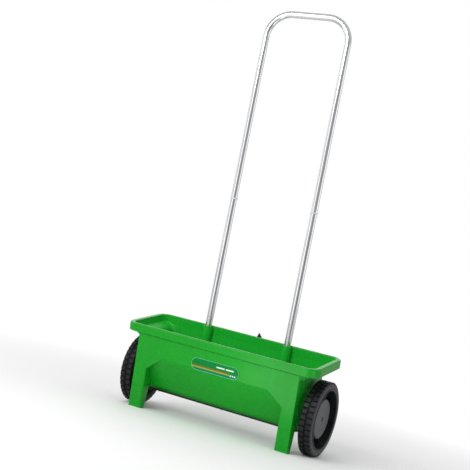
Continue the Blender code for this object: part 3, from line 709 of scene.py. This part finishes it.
def scaleFilm(centre):
    # dosing scale: plain ticks that grow longer towards the open end
    g = scale
    finish = Finish("scaleFilm", specular=0.4)
    here = finish.place(centre, (tip, 0, 0))
    x, _, z = finish.parts(here)
    patches = finish.noise(here, 150, 3, 0.6)
    tick = g["tickHalf"] - abs((x + 0.5) % g["tickPitch"] - g["tickPitch"] / 2)
    height = (x + g["start"]) * g["growth"] + g["shortest"]
    inHeight = 1 - (abs(z + g["drop"]) - height).over(0.0, 0.0001)
    marks = tick.over(0.0, 0.0001) * inHeight * abs(x).within(-0.1, g["ticksHalf"])
    shade = finish.mix(patches.fit(0.3, 0.7), tint(0.004, 0.2, 0.05), tint(0.006, 0.24, 0.062))
    shade = finish.mix(marks, shade, tint(0.82, 0.86, 0.8))
    return glazed(finish, shade, patches, here, 0.32)


labelPlace = Vector((label["x"], frontY(label["z"]) - 0.0003, label["z"]))
film = labelFilm(toRow @ labelPlace, (tip - panelTilt, 0, 0))
sticker = moved(pill(label["length"], label["height"], label["depth"]), labelPlace, (-panelTilt, 0, 0))
finished("frontLabel", sticker, film, "hopper_body", "front_label")
scalePlate = moved(pill(scale["length"], scale["height"], scale["depth"]), scale["place"])
film = scaleFilm(toRow @ Vector(scale["place"]))
finished("dosingScale", scalePlate, film, "hopper_body", "dosing_scale")
print("labels done")

handle = {
    "radius": 0.009, "wall": 0.001, "bottom": -0.104, "joint": 0.349, "jointGap": 0.0019, "top": 0.8579,
    "bend": 0.066, "sleeve": (0.0074, 0.0012), "sleeveHalf": 0.045,
    "ring": (0.0079, 0.0101), "ringHalf": 0.0016, "ringRound": 0.0006,
}
# head radius, head height, shank radius and length
screws = {
    "joint": (0.0032, 0.002, 0.0015, 0.0065), "socket": (0.0034, 0.0022, 0.0015, 0.0085),
    "rail": (0.0028, 0.0018, 0.0013, 0.012), "pivot": (0.0052, 0.0035, 0.0024, 0.0247),
}
# name, kind, place along the tube and distance behind its middle
tubeScrews = (
    ("lower", "joint", handle["joint"] - 0.025, 0.0093), ("upper", "joint", handle["joint"] + 0.025, 0.0093),
    ("socket", "socket", -0.066, 0.0135),
)


def pushed(bm, edges, vec):
    made = bmesh.ops.extrude_edge_only(bm, edges=edges)["geom"]
    bmesh.ops.translate(bm, vec=vec, verts=vertsOf(made))
    return edgesOf(made)


def swept(bm, edges, centre):
    # a quarter turn in the handle's plane
    made = bmesh.ops.spin(bm, geom=edges, cent=centre, axis=(0, 1, 0), dvec=(0, 0, 0), angle=pi / 2,
                          steps=20)["geom_last"]
    return edgesOf(made)


def circle(radius, place):
    bm = bmesh.new()
    bmesh.ops.create_circle(bm, segments=40, radius=radius)
    bmesh.ops.translate(bm, vec=place, verts=bm.verts)
    return bm, list(bm.edges)


def walled(bm, thickness):
    return applied(faced(bm), "SOLIDIFY", thickness=thickness, offset=-1.0, use_even_offset=True)


def pipe(low, high, radius, wall):
    # a straight length along Z of the tube line
    bm, edges = circle(radius, (0, 0, low))
    pushed(bm, edges, (0, 0, high - low))
    return walled(bm, wall)


def upperHandle():
    g = handle
    start, top = g["joint"] + g["jointGap"], g["top"] - g["bend"]
    bm, edges = circle(g["radius"], (-tubeX, 0, start))
    edges = pushed(bm, edges, (0, 0, top - start))
    edges = swept(bm, edges, (g["bend"] - tubeX, 0, top))
    edges = pushed(bm, edges, (2 * (tubeX - g["bend"]), 0, 0))
    edges = swept(bm, edges, (tubeX - g["bend"], 0, top))
    pushed(bm, edges, (0, 0, start - top))
    return walled(bm, g["wall"])


def slottedScrew(head, height, shank, length):
    # a domed head with a cross slot; the shank runs to -X
    dome = ((0, 1), (0.45, 0.95), (0.8, 0.72), (1, 0.22), (1, 0))
    section = [(head * out, height * up) for out, up in dome]
    section += [(shank, 0), (shank, -length + shank), (0, -length)]
    arm, half, deep, top = head * 0.55, head * 0.11, height * 0.45, height + 0.001
    slots = block((deep, -arm, -half), (top, arm, half)), block((deep, -half, -arm), (top, half, arm))
    return cut(turned(section, 28, closed=False), *slots)


tubeSteel = groundMetal("tubeSteel", tint(0.84, 0.85, 0.86), 0.13, (tip - lean, 0, 0), 60, grime=0.15)
darkSteel = groundMetal("zincSteel", tint(0.6, 0.61, 0.62), 0.32, toFloor, 20, grime=0.5)
ringPlastic = mouldedPlastic("ringPlastic", tint(0.7, 0.71, 0.72), tint(0.8, 0.8, 0.8), 0.38, 0.5)


def tubePiece(name, bm, node):
    finished(name, bm, tubeSteel, "hopper_body", node)


def steelPiece(name, bm, node, ridesOn="hopper_body"):
    finished(name, bm, darkSteel, ridesOn, node)


tubePiece("upperHandle", onTubes(upperHandle()), "upper_handle")
joint = handle["joint"]
for name, node, sign in sides:
    x = sign * tubeX
    lower = pipe(handle["bottom"], joint - handle["jointGap"], handle["radius"], handle["wall"])
    tubePiece("lowerTube" + name, onTubes(lower, x), f"lower_tube_{node}")
    sleeve = pipe(joint - handle["sleeveHalf"], joint + handle["sleeveHalf"], *handle["sleeve"])
    tubePiece("jointSleeve" + name, onTubes(sleeve, x), f"joint_sleeve_{node}")
    band = ring(*handle["ring"], joint - handle["ringHalf"], joint + handle["ringHalf"], handle["ringRound"])
    band = alongTube(band, x)
    finished("jointRing" + name, band, ringPlastic, "hopper_body", f"joint_ring_{node}")
    for place, kind, distance, proud in tubeScrews:
        part = onTubes(moved(slottedScrew(*screws[kind]), (0, proud, distance), toRear), x)
        stem = f"socket_screw_{node}" if kind == "socket" else f"joint_screw_{place}_{node}"
        steelPiece(place + "Screw" + name, part, stem)
print("handle done")

wheel = {
    "radius": 0.0941, "middle": 0.2571, "half": 0.018, "lugs": 40, "lugHeight": 0.0026, "spokes": 8,
    "lugRow": 0.0096, "lugHalf": (0.0073, 0.0058), "lugRoot": 0.006, "lugTaper": 0.86, "lugShoulder": 0.0022,
    "lugRound": 0.0006, "spokeFrom": 0.244, "spokeTo": 0.2585, "spokeHalf": 0.0045, "spokeReach": 0.0742,
    "spokeRound": 0.0008, "recess": (0.015, 0.2559),
    "slot": ((0.233, -0.0019, -0.013), (0.2391, 0.0019, 0.013)),
    # radius and place along X
    "hub": ((axleHole, 0.2331), (0.016, 0.2331), (0.017, 0.2341), (0.017, 0.256), (axleHole, 0.256)),
    "disc": ((0, 0.2545), (0.0484, 0.2545), (0.049, 0.2551), (0.049, 0.2579), (0.0484, 0.2585), (0, 0.2585)),
}
# radius, and how far out from the cap's face
cap = {
    "face": 0.2627,
    "dimple": ((0, 0.0006), (0.0042, 0.0007), (0.0056, 0.0016), (0.0066, 0.0034), (0.0076, 0.0037)),
    "dish": ((0.02, 0.0038), (0.0455, 0.0039), (0.0478, 0.0034), (0.0494, 0.0022), (0.05, 0.0006)),
    "skirt": ((0.05, -0.0036), (0.0496, -0.0039), (0.048, -0.0039), (0.0478, 0), (0, 0)),
}
axle = {"end": 0.2612, "radius": 0.005, "chamfer": 0.0008, "groove": 0.2583, "grooveHalf": 0.0009,
        "grooveRadius": 0.0038}
roller = {"core": 0.014, "half": 0.2205, "round": 0.0006, "ribs": 8, "ribHalf": 0.0016, "ribFrom": 0.012,
          "ribTo": 0.0312, "ribRound": 0.0007}
# inner radius, outer radius and the two faces
washers = {"inner": (axleHole, 0.011, 0.2318, 0.2328), "outer": (axleHole, 0.01, 0.2562, 0.2571)}
clip = {"ring": (0.0041, 0.0085, 0.2577, 0.2589), "gap": ((0.25, -0.0034, -0.012), (0.27, 0.0034, 0))}
bush = {"sleeve": 0.0095, "flange": 0.0138, "from": 0.2225, "step": 0.2288, "to": 0.2315, "chamfer": 0.0003}
# name, node, place along X and half length
pins = (
    ("rollerPinLeft", "roller_pin_left", -0.165, 0.0132),
    ("rollerPinRight", "roller_pin_right", 0.165, 0.0132),
    ("drivePin", "drive_pin", 0.2372, 0.0118),
)
tread = {
    "patches": (60, 4, 0.6), "grains": (1200, 3, 0.6), "grooveTop": 0.0927, "grooveFloor": 0.0895,
    "sideFrom": 0.015, "sideRadius": 0.0738, "dust": 0.15, "bumpStrength": 0.15, "bumpDepth": 0.0003,
}


def tyreRubber(name, centre):
    # hard tyre: painted shade between the lugs, nearly black there, and a greyer outer side face painted
    # lighter as light caught there
    g = tread
    finish = Finish(name, specular=0.2)
    here = finish.place(centre)
    x, y, z = finish.parts(here)
    radius = (y * y + z * z) ** 0.5
    patches, grains = (finish.noise(here, *g[key]) for key in ("patches", "grains"))
    groove = (1 - radius.over(g["grooveTop"], 0.0008)) * radius.over(g["grooveFloor"], 0.0006)
    dustAndPaintedLight = patches.fit(0.5, 0.75) * g["dust"]
    outer = abs(x).over(wheel["middle"] + g["sideFrom"], 0.0012) * radius.over(g["sideRadius"], 0.0003)
    shade = finish.mix(patches.fit(0.3, 0.7), tint(0.01, 0.011, 0.013), tint(0.016, 0.017, 0.019))
    # painted shade: the tread floor between the lugs is painted nearly black
    shade = finish.mix(groove, shade, tint(0.002, 0.002, 0.003))
    # painted light: the outer side face is painted greyer than the inner face, which stays dark
    shade = finish.mix(outer, shade, tint(0.052, 0.053, 0.057))
    shade = finish.mix(dustAndPaintedLight, shade, tint(0.045, 0.044, 0.042))
    rough = 0.42 + patches.fit(0.3, 0.7, (-0.04, 0.1)) + groove * 0.2
    finish.bump(grains * 0.6 + patches * 0.4, g["bumpStrength"], g["bumpDepth"])
    return finish.paint(shade, rough)


def axleBar():
    g = axle
    radius, end = g["radius"], g["end"]
    near, far = g["groove"] - g["grooveHalf"], g["groove"] + g["grooveHalf"]
    half = [(0.0, end), (radius - g["chamfer"], end), (radius, end - g["chamfer"]), (radius, far),
            (g["grooveRadius"], far), (g["grooveRadius"], near), (radius, near)]
    return turned(bothEnds(half), 32, closed=False)


def feedRoller():
    g = roller
    half, wide = g["half"], g["ribHalf"]
    bm = rod(g["core"], -half, half, g["round"], 48)
    for i in range(g["ribs"]):
        rib = block((-half, -wide, g["ribFrom"]), (half, wide, g["ribTo"]), g["ribRound"])
        rib.transform(Matrix.Rotation(radians(360 / g["ribs"] * i), 4, "X"))
        bm = grown(bm, rib)
    return cut(bm, drill(axleHole, -0.25, 0.25, 32))


def tyre():
    # closed section of the tyre, its middle plane at x = 0 and the outer side at +X
    edge = wheel["half"]
    base = wheel["radius"] - wheel["lugHeight"]
    shoulder = [(base + 0.0003, 0.006), (base, 0.013), (base - 0.0012, 0.016), (base - 0.003, 0.0173)]
    face = [(0.084, edge - 0.0004), (0.08, edge - 0.001), (0.0778, edge - 0.0022), (0.0768, edge - 0.0022)]
    bead = [(0.0762, edge - 0.0006), (0.0755, edge), (0.0746, edge), (0.0739, edge - 0.0006),
            (0.0735, edge - 0.0016)]
    return turned(bothEnds(shoulder + face + bead), 96)


def lugRow(x, shift):
    g = wheel
    long, wide = g["lugHalf"]
    lugs = []
    for i in range(g["lugs"]):
        lug = block((-long, -wide, g["radius"] - g["lugRoot"]), (long, wide, g["radius"] - 0.0001))
        for vert in lug.verts:
            if vert.co.z > g["radius"] - 0.003:  # tapered sides, and a shoulder slope on the outer end
                vert.co.y *= g["lugTaper"]
                vert.co.x -= copysign(g["lugShoulder"], x) if vert.co.x * x > 0 else 0
        edged(lug, g["lugRound"], 1, 30)
        bmesh.ops.translate(lug, vec=(x, 0, 0), verts=lug.verts)
        lug.transform(Matrix.Rotation(tau / g["lugs"] * (i + shift), 4, "X"))
        lugs.append(lug)
    return joinedUp(*lugs)


def wheelBody(slotted):
    # drawn about the wheel's own middle plane; the lugs overlap it, so they join after every cut
    g = wheel
    m = g["middle"]
    wide, reach, (recess, recessFrom) = g["spokeHalf"], g["spokeReach"], g["recess"]
    bm = turned([(radius, x - m) for radius, x in g["hub"]])
    for i in range(g["spokes"] // 2):
        low, high = (g["spokeFrom"] - m, -wide, -reach), (g["spokeTo"] - m, wide, reach)
        bar = block(low, high, g["spokeRound"])
        bar.transform(Matrix.Rotation(radians(360 / g["spokes"] * (i + 0.5)), 4, "X"))
        bm = grown(bm, bar)
    bm = grown(bm, turned([(radius, x - m) for radius, x in g["disc"]], 64, closed=False))
    bm = cut(bm, drill(recess, recessFrom - m, 0.28 - m), drill(axleHole, 0.2 - m, 0.28 - m))
    bm = grown(bm, tyre())
    if slotted:  # for the drive pin
        bm = cut(bm, moved(block(*g["slot"]), (-m, 0, 0)))
    return joinedUp(bm, lugRow(g["lugRow"], 0.0), lugRow(-g["lugRow"], 0.5))


def hubCap():
    face = cap["face"] - wheel["middle"]
    section = [(radius, face + out) for radius, out in cap["dimple"] + cap["dish"] + cap["skirt"]]
    return turned(section, 96, closed=False)


def axleBush():
    g = bush
    w, sleeve, flange = g["chamfer"], g["sleeve"], g["flange"]
    low, step, high = g["from"], g["step"], g["to"]
    return turned([(axleHole, low), (sleeve - w, low), (sleeve, low + w), (sleeve, step), (flange - w, step),
                   (flange, step + w), (flange, high - w), (flange - w, high), (axleHole, high)])


capPlastic = mouldedPlastic("hubCapPlastic", tint(0.068, 0.069, 0.078), tint(0.12, 0.12, 0.13), 0.36, 0.4,
                            grain=0.1)
whitePlastic = mouldedPlastic("rollerPlastic", tint(0.68, 0.68, 0.65), tint(0.55, 0.5, 0.4), 0.45, 0.45)
blackPlastic = mouldedPlastic("blackPlastic", tint(0.02, 0.02, 0.023), tint(0.07, 0.07, 0.07), 0.42, 0.4)
rubber = tyreRubber("tyreRubber", axlePoint)

steelPiece("axleBar", axleBar(), "axle", "drive_axle")
finished("feedRoller", feedRoller(), whitePlastic, "drive_axle", "feed_roller")
for name, node, x, reach in pins:
    pin = moved(rod(0.0015, -reach, reach, steps=16), (x, 0, 0), toFloor)
    steelPiece(name, pin, node, "drive_axle")

for name, node, sign in sides:
    ridesOn = "drive_axle" if sign > 0 else "left_wheel"
    tyreAndWheel = moved(wheelBody(sign > 0), (wheel["middle"], 0, 0))
    finished("wheel" + name, onSide(tyreAndWheel, sign), rubber, ridesOn, f"wheel_{node}")
    capPiece = onSide(moved(hubCap(), (wheel["middle"], 0, 0)), sign)
    finished("hubCap" + name, capPiece, capPlastic, ridesOn, f"hub_cap_{node}")
    for kind, size in washers.items():
        steelPiece(f"{kind}Washer{name}", onSide(ring(*size), sign), f"{kind}_washer_{node}", ridesOn)
    clipPiece = cut(ring(*clip["ring"]), block(*clip["gap"]))
    steelPiece("retainingClip" + name, onSide(clipPiece, sign), f"retaining_clip_{node}", "drive_axle")
    finished("axleBush" + name, onSide(axleBush(), sign), whitePlastic, "hopper_body",
             f"axle_bush_{node}")
print("wheels done")

slide = {
    "half": 0.208, "wide": 0.014, "low": -0.0395, "high": -0.0375, "round": 0.0005,
    "tabHalf": 0.008, "tabFrom": 0.012, "tabTo": 0.086, "tabLow": -0.0394, "tabHigh": -0.0376,
    "stud": (0.0025, 0.0835, 0.0975, 0.0004), "studZ": -0.0385,
}
rail = {
    "half": 0.215, "near": 0.0143, "far": 0.0268, "low": -0.041, "high": -0.0373, "lipNear": 0.011,
    "lipLow": -0.0418, "lipHigh": -0.0398, "round": 0.0003, "hole": (0.0019, 0.02, 0.06), "screwY": 0.0228,
    "screwHead": -0.0421, "screwX": (("Left", -0.19), ("Middle", 0.0), ("Right", 0.19)),
}
lever = {
    "rest": radians(6.5), "y": 0.0925, "halfThick": 0.002, "tip": 0.151 - pivot.z, "round": 0.0006,
    "fork": 0.0029, "prong": 0.0065, "toe": 0.006, "forkTop": 0.0045, "prongTop": 0.0085,
    "neck": (0.005, -0.012), "eye": 0.0115, "blade": (0.006, 0.02), "bore": (0.0034, -0.01, 0.01),
    "grips": (0.078, 0.083, 0.088, 0.093), "gripHalf": 0.006, "gripHeight": 0.0022,
}
studX = pivot.x + tan(lever["rest"]) * (pivot.z - slide["studZ"])


def dosingSlide():
    g = slide
    half, wide, near, far = g["half"], g["wide"], studX - g["tabHalf"], studX + g["tabHalf"]
    strip = block((-half, -wide, g["low"]), (half, wide, g["high"]), g["round"])
    tab = block((near, g["tabFrom"], g["tabLow"]), (far, g["tabTo"], g["tabHigh"]), g["round"])
    stud = moved(rod(*g["stud"]), (studX, 0, g["studZ"]), toRear)
    return cut(grown(strip, tab, stud), outletBoxes(-0.05, -0.03, hopper["outletPitch"] / 2))


def slideRail(sign):
    g = rail
    half = g["half"]
    near, far = sorted((sign * g["near"], sign * g["far"]))
    bm = block((-half, near, g["low"]), (half, far, g["high"]))
    near, far = sorted((sign * g["lipNear"], sign * g["far"]))
    bm = grown(bm, block((-half, near, g["lipLow"]), (half, far, g["lipHigh"])))
    edged(bm, g["round"], 2, 60)
    holes = [moved(drill(*g["hole"], 16), (x, sign * g["screwY"], 0), toFloor) for _, x in g["screwX"]]
    bm = cut(bm, joinedUp(*holes))
    if sign > 0:  # the gap that the slide's tab moves in
        bm = cut(bm, block((studX - 0.025, 0.01, -0.0398), (studX + 0.0095, 0.03, -0.03)))
    return bm


def dosingLever():
    # forked foot, round eye and a blade with a pointed grip, drawn about its pivot
    g = lever
    reach, fork, prong, thick = g["tip"], g["fork"], g["prong"], g["halfThick"]
    foot = slide["studZ"] - pivot.z
    toe = foot - g["toe"]
    right = [(fork, foot + g["forkTop"]), (fork, toe), (prong, toe)]
    right += [(prong, foot + g["prongTop"]), g["neck"]]
    for degrees in range(-50, 51, 10):
        angle = radians(degrees)
        right.append((g["eye"] * cos(angle), g["eye"] * sin(angle)))
    right += [g["blade"], (0.008, reach - 0.03), (0.0085, reach - 0.014)]
    outline = right + [(0.0, reach)] + [(-x, z) for x, z in reversed(right)]
    bm = edged(plate(outline, "y", -thick, thick), g["round"], 2, 60)
    half = g["gripHalf"]
    for z in g["grips"]:  # grip ribs on the rear of the blade
        bm = grown(bm, block((-half, 0.0015, z), (half, 0.0019, z + g["gripHeight"]), 0.0002, 1))
    bm = cut(bm, moved(drill(*g["bore"], 24), (0, 0, 0), toRear))
    return moved(bm, (pivot.x, g["y"], pivot.z), (0, -g["rest"], 0))


finished("dosingSlide", dosingSlide(), blackPlastic, "slide", "dosing_slide")
for name, node, sign in (("Front", "front", -1), ("Rear", "rear", 1)):
    strip = slideRail(sign)
    finished("slideRail" + name, strip, blackPlastic, "hopper_body", f"slide_rail_{node}")
    for place, x in rail["screwX"]:
        part = moved(slottedScrew(*screws["rail"]), (x, sign * rail["screwY"], rail["screwHead"]), toFloor)
        steelPiece(f"railScrew{name}{place}", part, f"rail_screw_{node}_{place.lower()}")
finished("dosingLever", dosingLever(), blackPlastic, "lever", "dosing_lever")
for name, node, low, high in (("Front", "front", 0.0891, 0.0902), ("Rear", "rear", 0.0948, 0.0959)):
    washer = moved(ring(0.0029, 0.008, low, high, steps=40), (pivot.x, 0, pivot.z), toRear)
    steelPiece("leverWasher" + name, washer, f"lever_washer_{node}")
bolt = moved(slottedScrew(*screws["pivot"]), (pivot.x, 0.0962, pivot.z), toRear)
steelPiece("leverPivotBolt", bolt, "lever_pivot_bolt")
print("slide and lever done")

studio = {
    "fill": 0.56, "bounce": 0.52, "floorBounce": 0.78, "fade": (0.42, 1.5),
    # direction, and how much darker the room is there in reflections
    "darkSides": (((0.655, -0.756, 0.05), 0.42), ((-0.85, -0.52, 0.05), 0.45)), "darkBand": (0.8, 0.97),
    "floorDark": 0.75, "floorDarkBand": (0.93, 0.985),
    # place, what it points at, width, height and watts
    "lamps": {
        "topLight": ((-0.3, -0.9, 2.7), (0, 0, 0.2), 1.8, 1.5, 12),
        "frontLight": ((-0.5, -2.4, 1.65), (0, 0, 0.2), 1.5, 1, 30),
        "leftLight": ((-2.4, -0.8, 1), (0, 0, 0.3), 1.6, 1.6, 6),
        "rightLight": ((2.3, 0.7, 0.9), (0, 0, 0.2), 1.5, 1.4, 4.5),
        "backLight": ((-1.5, 2.7, 1.5), (0, 0, 0.2), 3.4, 1.6, 14),
        "streakLight": ((-0.46, -1.14, 0.8), (0, 0, 0.8), 0.6, 1.5, 2.6),
        "sideCard": ((0.95, -0.42, 0.02), (0.95, -0.42, 1), 0.6, 0.35, 1.2),
        "lowCard": ((0.065, -0.425, 0.02), (0.065, -0.425, 1), 0.26, 0.4, 0.62),
    },
    "lowCardTurn": -23.7,
}


def roomGlow(nodes, toEye, reflected):
    # white to the eye, grey in reflections, and dimmer again as bounced light
    glossy = nodes.node("ShaderNodeLightPath", {}, {}, "Is Glossy Ray")
    return toEye + glossy * reflected + (1 - toEye - glossy) * studio["bounce"]


def paleFloor():
    bm = bmesh.new()
    bmesh.ops.create_circle(bm, cap_ends=True, segments=96, radius=9)
    finish = Finish("paleFloor", roughness=0.7, specular=0.2)
    here = finish.place()
    x, y, _ = finish.parts(here)
    far = ((x * x + y * y) ** 0.5).fit(*studio["fade"])
    grains = finish.noise(here, 90, 3)
    toEye = finish.node("ShaderNodeLightPath", {}, {}, "Is Camera Ray")
    pale = finish.mix(grains, tint(0.9, 0.9, 0.9), tint(0.93, 0.93, 0.93))
    finish.paint(finish.mix(toEye, tint(*(studio["floorBounce"],) * 3), pale))
    (sideX, sideY, _), _ = studio["darkSides"][0]
    facing = (x * sideX + y * sideY) * (x * x + y * y + 0.01) ** -0.5
    reflected = studio["fill"] * (1 - facing.fit(*studio["floorDarkBand"]) * studio["floorDark"])
    values = {"Color": tint(1, 1, 1), "Strength": roomGlow(finish, toEye, reflected)}
    glow = finish.node("ShaderNodeEmission", {}, values)
    near = Wire(finish, finish.shader.outputs[0])
    blend = finish.node("ShaderNodeMixShader", {}, {0: far, 1: near, 2: glow})
    finish.feed(finish.tree.nodes["Material Output"].inputs["Surface"], blend)
    floor = newObject("paleFloor", meshOf("paleFloor", bm))
    floor.data.materials.append(finish.material)


def studioWorld():
    # the room around, with two darker sides in reflections
    world = bpy.data.worlds.new("studio")
    world.use_nodes = True
    scene.world = world
    world.node_tree.nodes.clear()
    sky = Nodes(world.node_tree)
    heading = sky.node("ShaderNodeTexCoord", {}, {}, "Generated")
    shares = []
    for direction, dark in studio["darkSides"]:
        values = {0: heading, 1: direction}
        facing = sky.node("ShaderNodeVectorMath", {"operation": "DOT_PRODUCT"}, values, "Value")
        shares.append(1 - facing.fit(*studio["darkBand"]) * dark)
    toEye = sky.node("ShaderNodeLightPath", {}, {}, "Is Camera Ray")
    strength = roomGlow(sky, toEye, shares[0] * shares[1] * studio["fill"])
    room = sky.node("ShaderNodeBackground", {}, {"Color": tint(1, 1, 1), "Strength": strength})
    out = sky.tree.nodes.new("ShaderNodeOutputWorld")
    sky.feed(out.inputs["Surface"], room)


def softLight(name, place, aim, width, height, watts):
    data = bpy.data.lights.new(name, "AREA")
    data.shape = "RECTANGLE"
    data.size = width
    data.size_y = height
    data.energy = watts
    lamp = newObject(name, data)
    lamp.location = place
    lamp.rotation_euler = (Vector(aim) - Vector(place)).to_track_quat("-Z", "Y").to_euler()
    lamp.visible_camera = False
    return lamp


paleFloor()
studioWorld()
lamps = {name: softLight(name, *settings) for name, settings in studio["lamps"].items()}
lamps["topLight"].visible_glossy = False
lamps["lowCard"].rotation_euler = (pi, 0, radians(studio["lowCardTurn"]))

view = {"place": (0.9842, -2.1177, 0.6847), "yaw": 25.904, "pitch": 6.746, "roll": 8.345, "lens": 70.78}
yaw, pitch, roll = (radians(view[key]) for key in ("yaw", "pitch", "roll"))
ahead = Vector((-sin(yaw) * cos(pitch), cos(yaw) * cos(pitch), -sin(pitch)))
right = Vector((cos(yaw), sin(yaw), 0))
up = right.cross(ahead)
across = right * cos(roll) + up * sin(roll)
upward = up * cos(roll) - right * sin(roll)
lens = bpy.data.cameras.new("camera")
lens.lens = view["lens"]
camera = newObject("camera", lens)
stand = Matrix((across, upward, -ahead)).transposed().to_4x4()
stand.translation = Vector(view["place"])
camera.matrix_world = toRow @ stand
scene.camera = camera
scene.view_settings.view_transform = "Standard"
print("stage done")
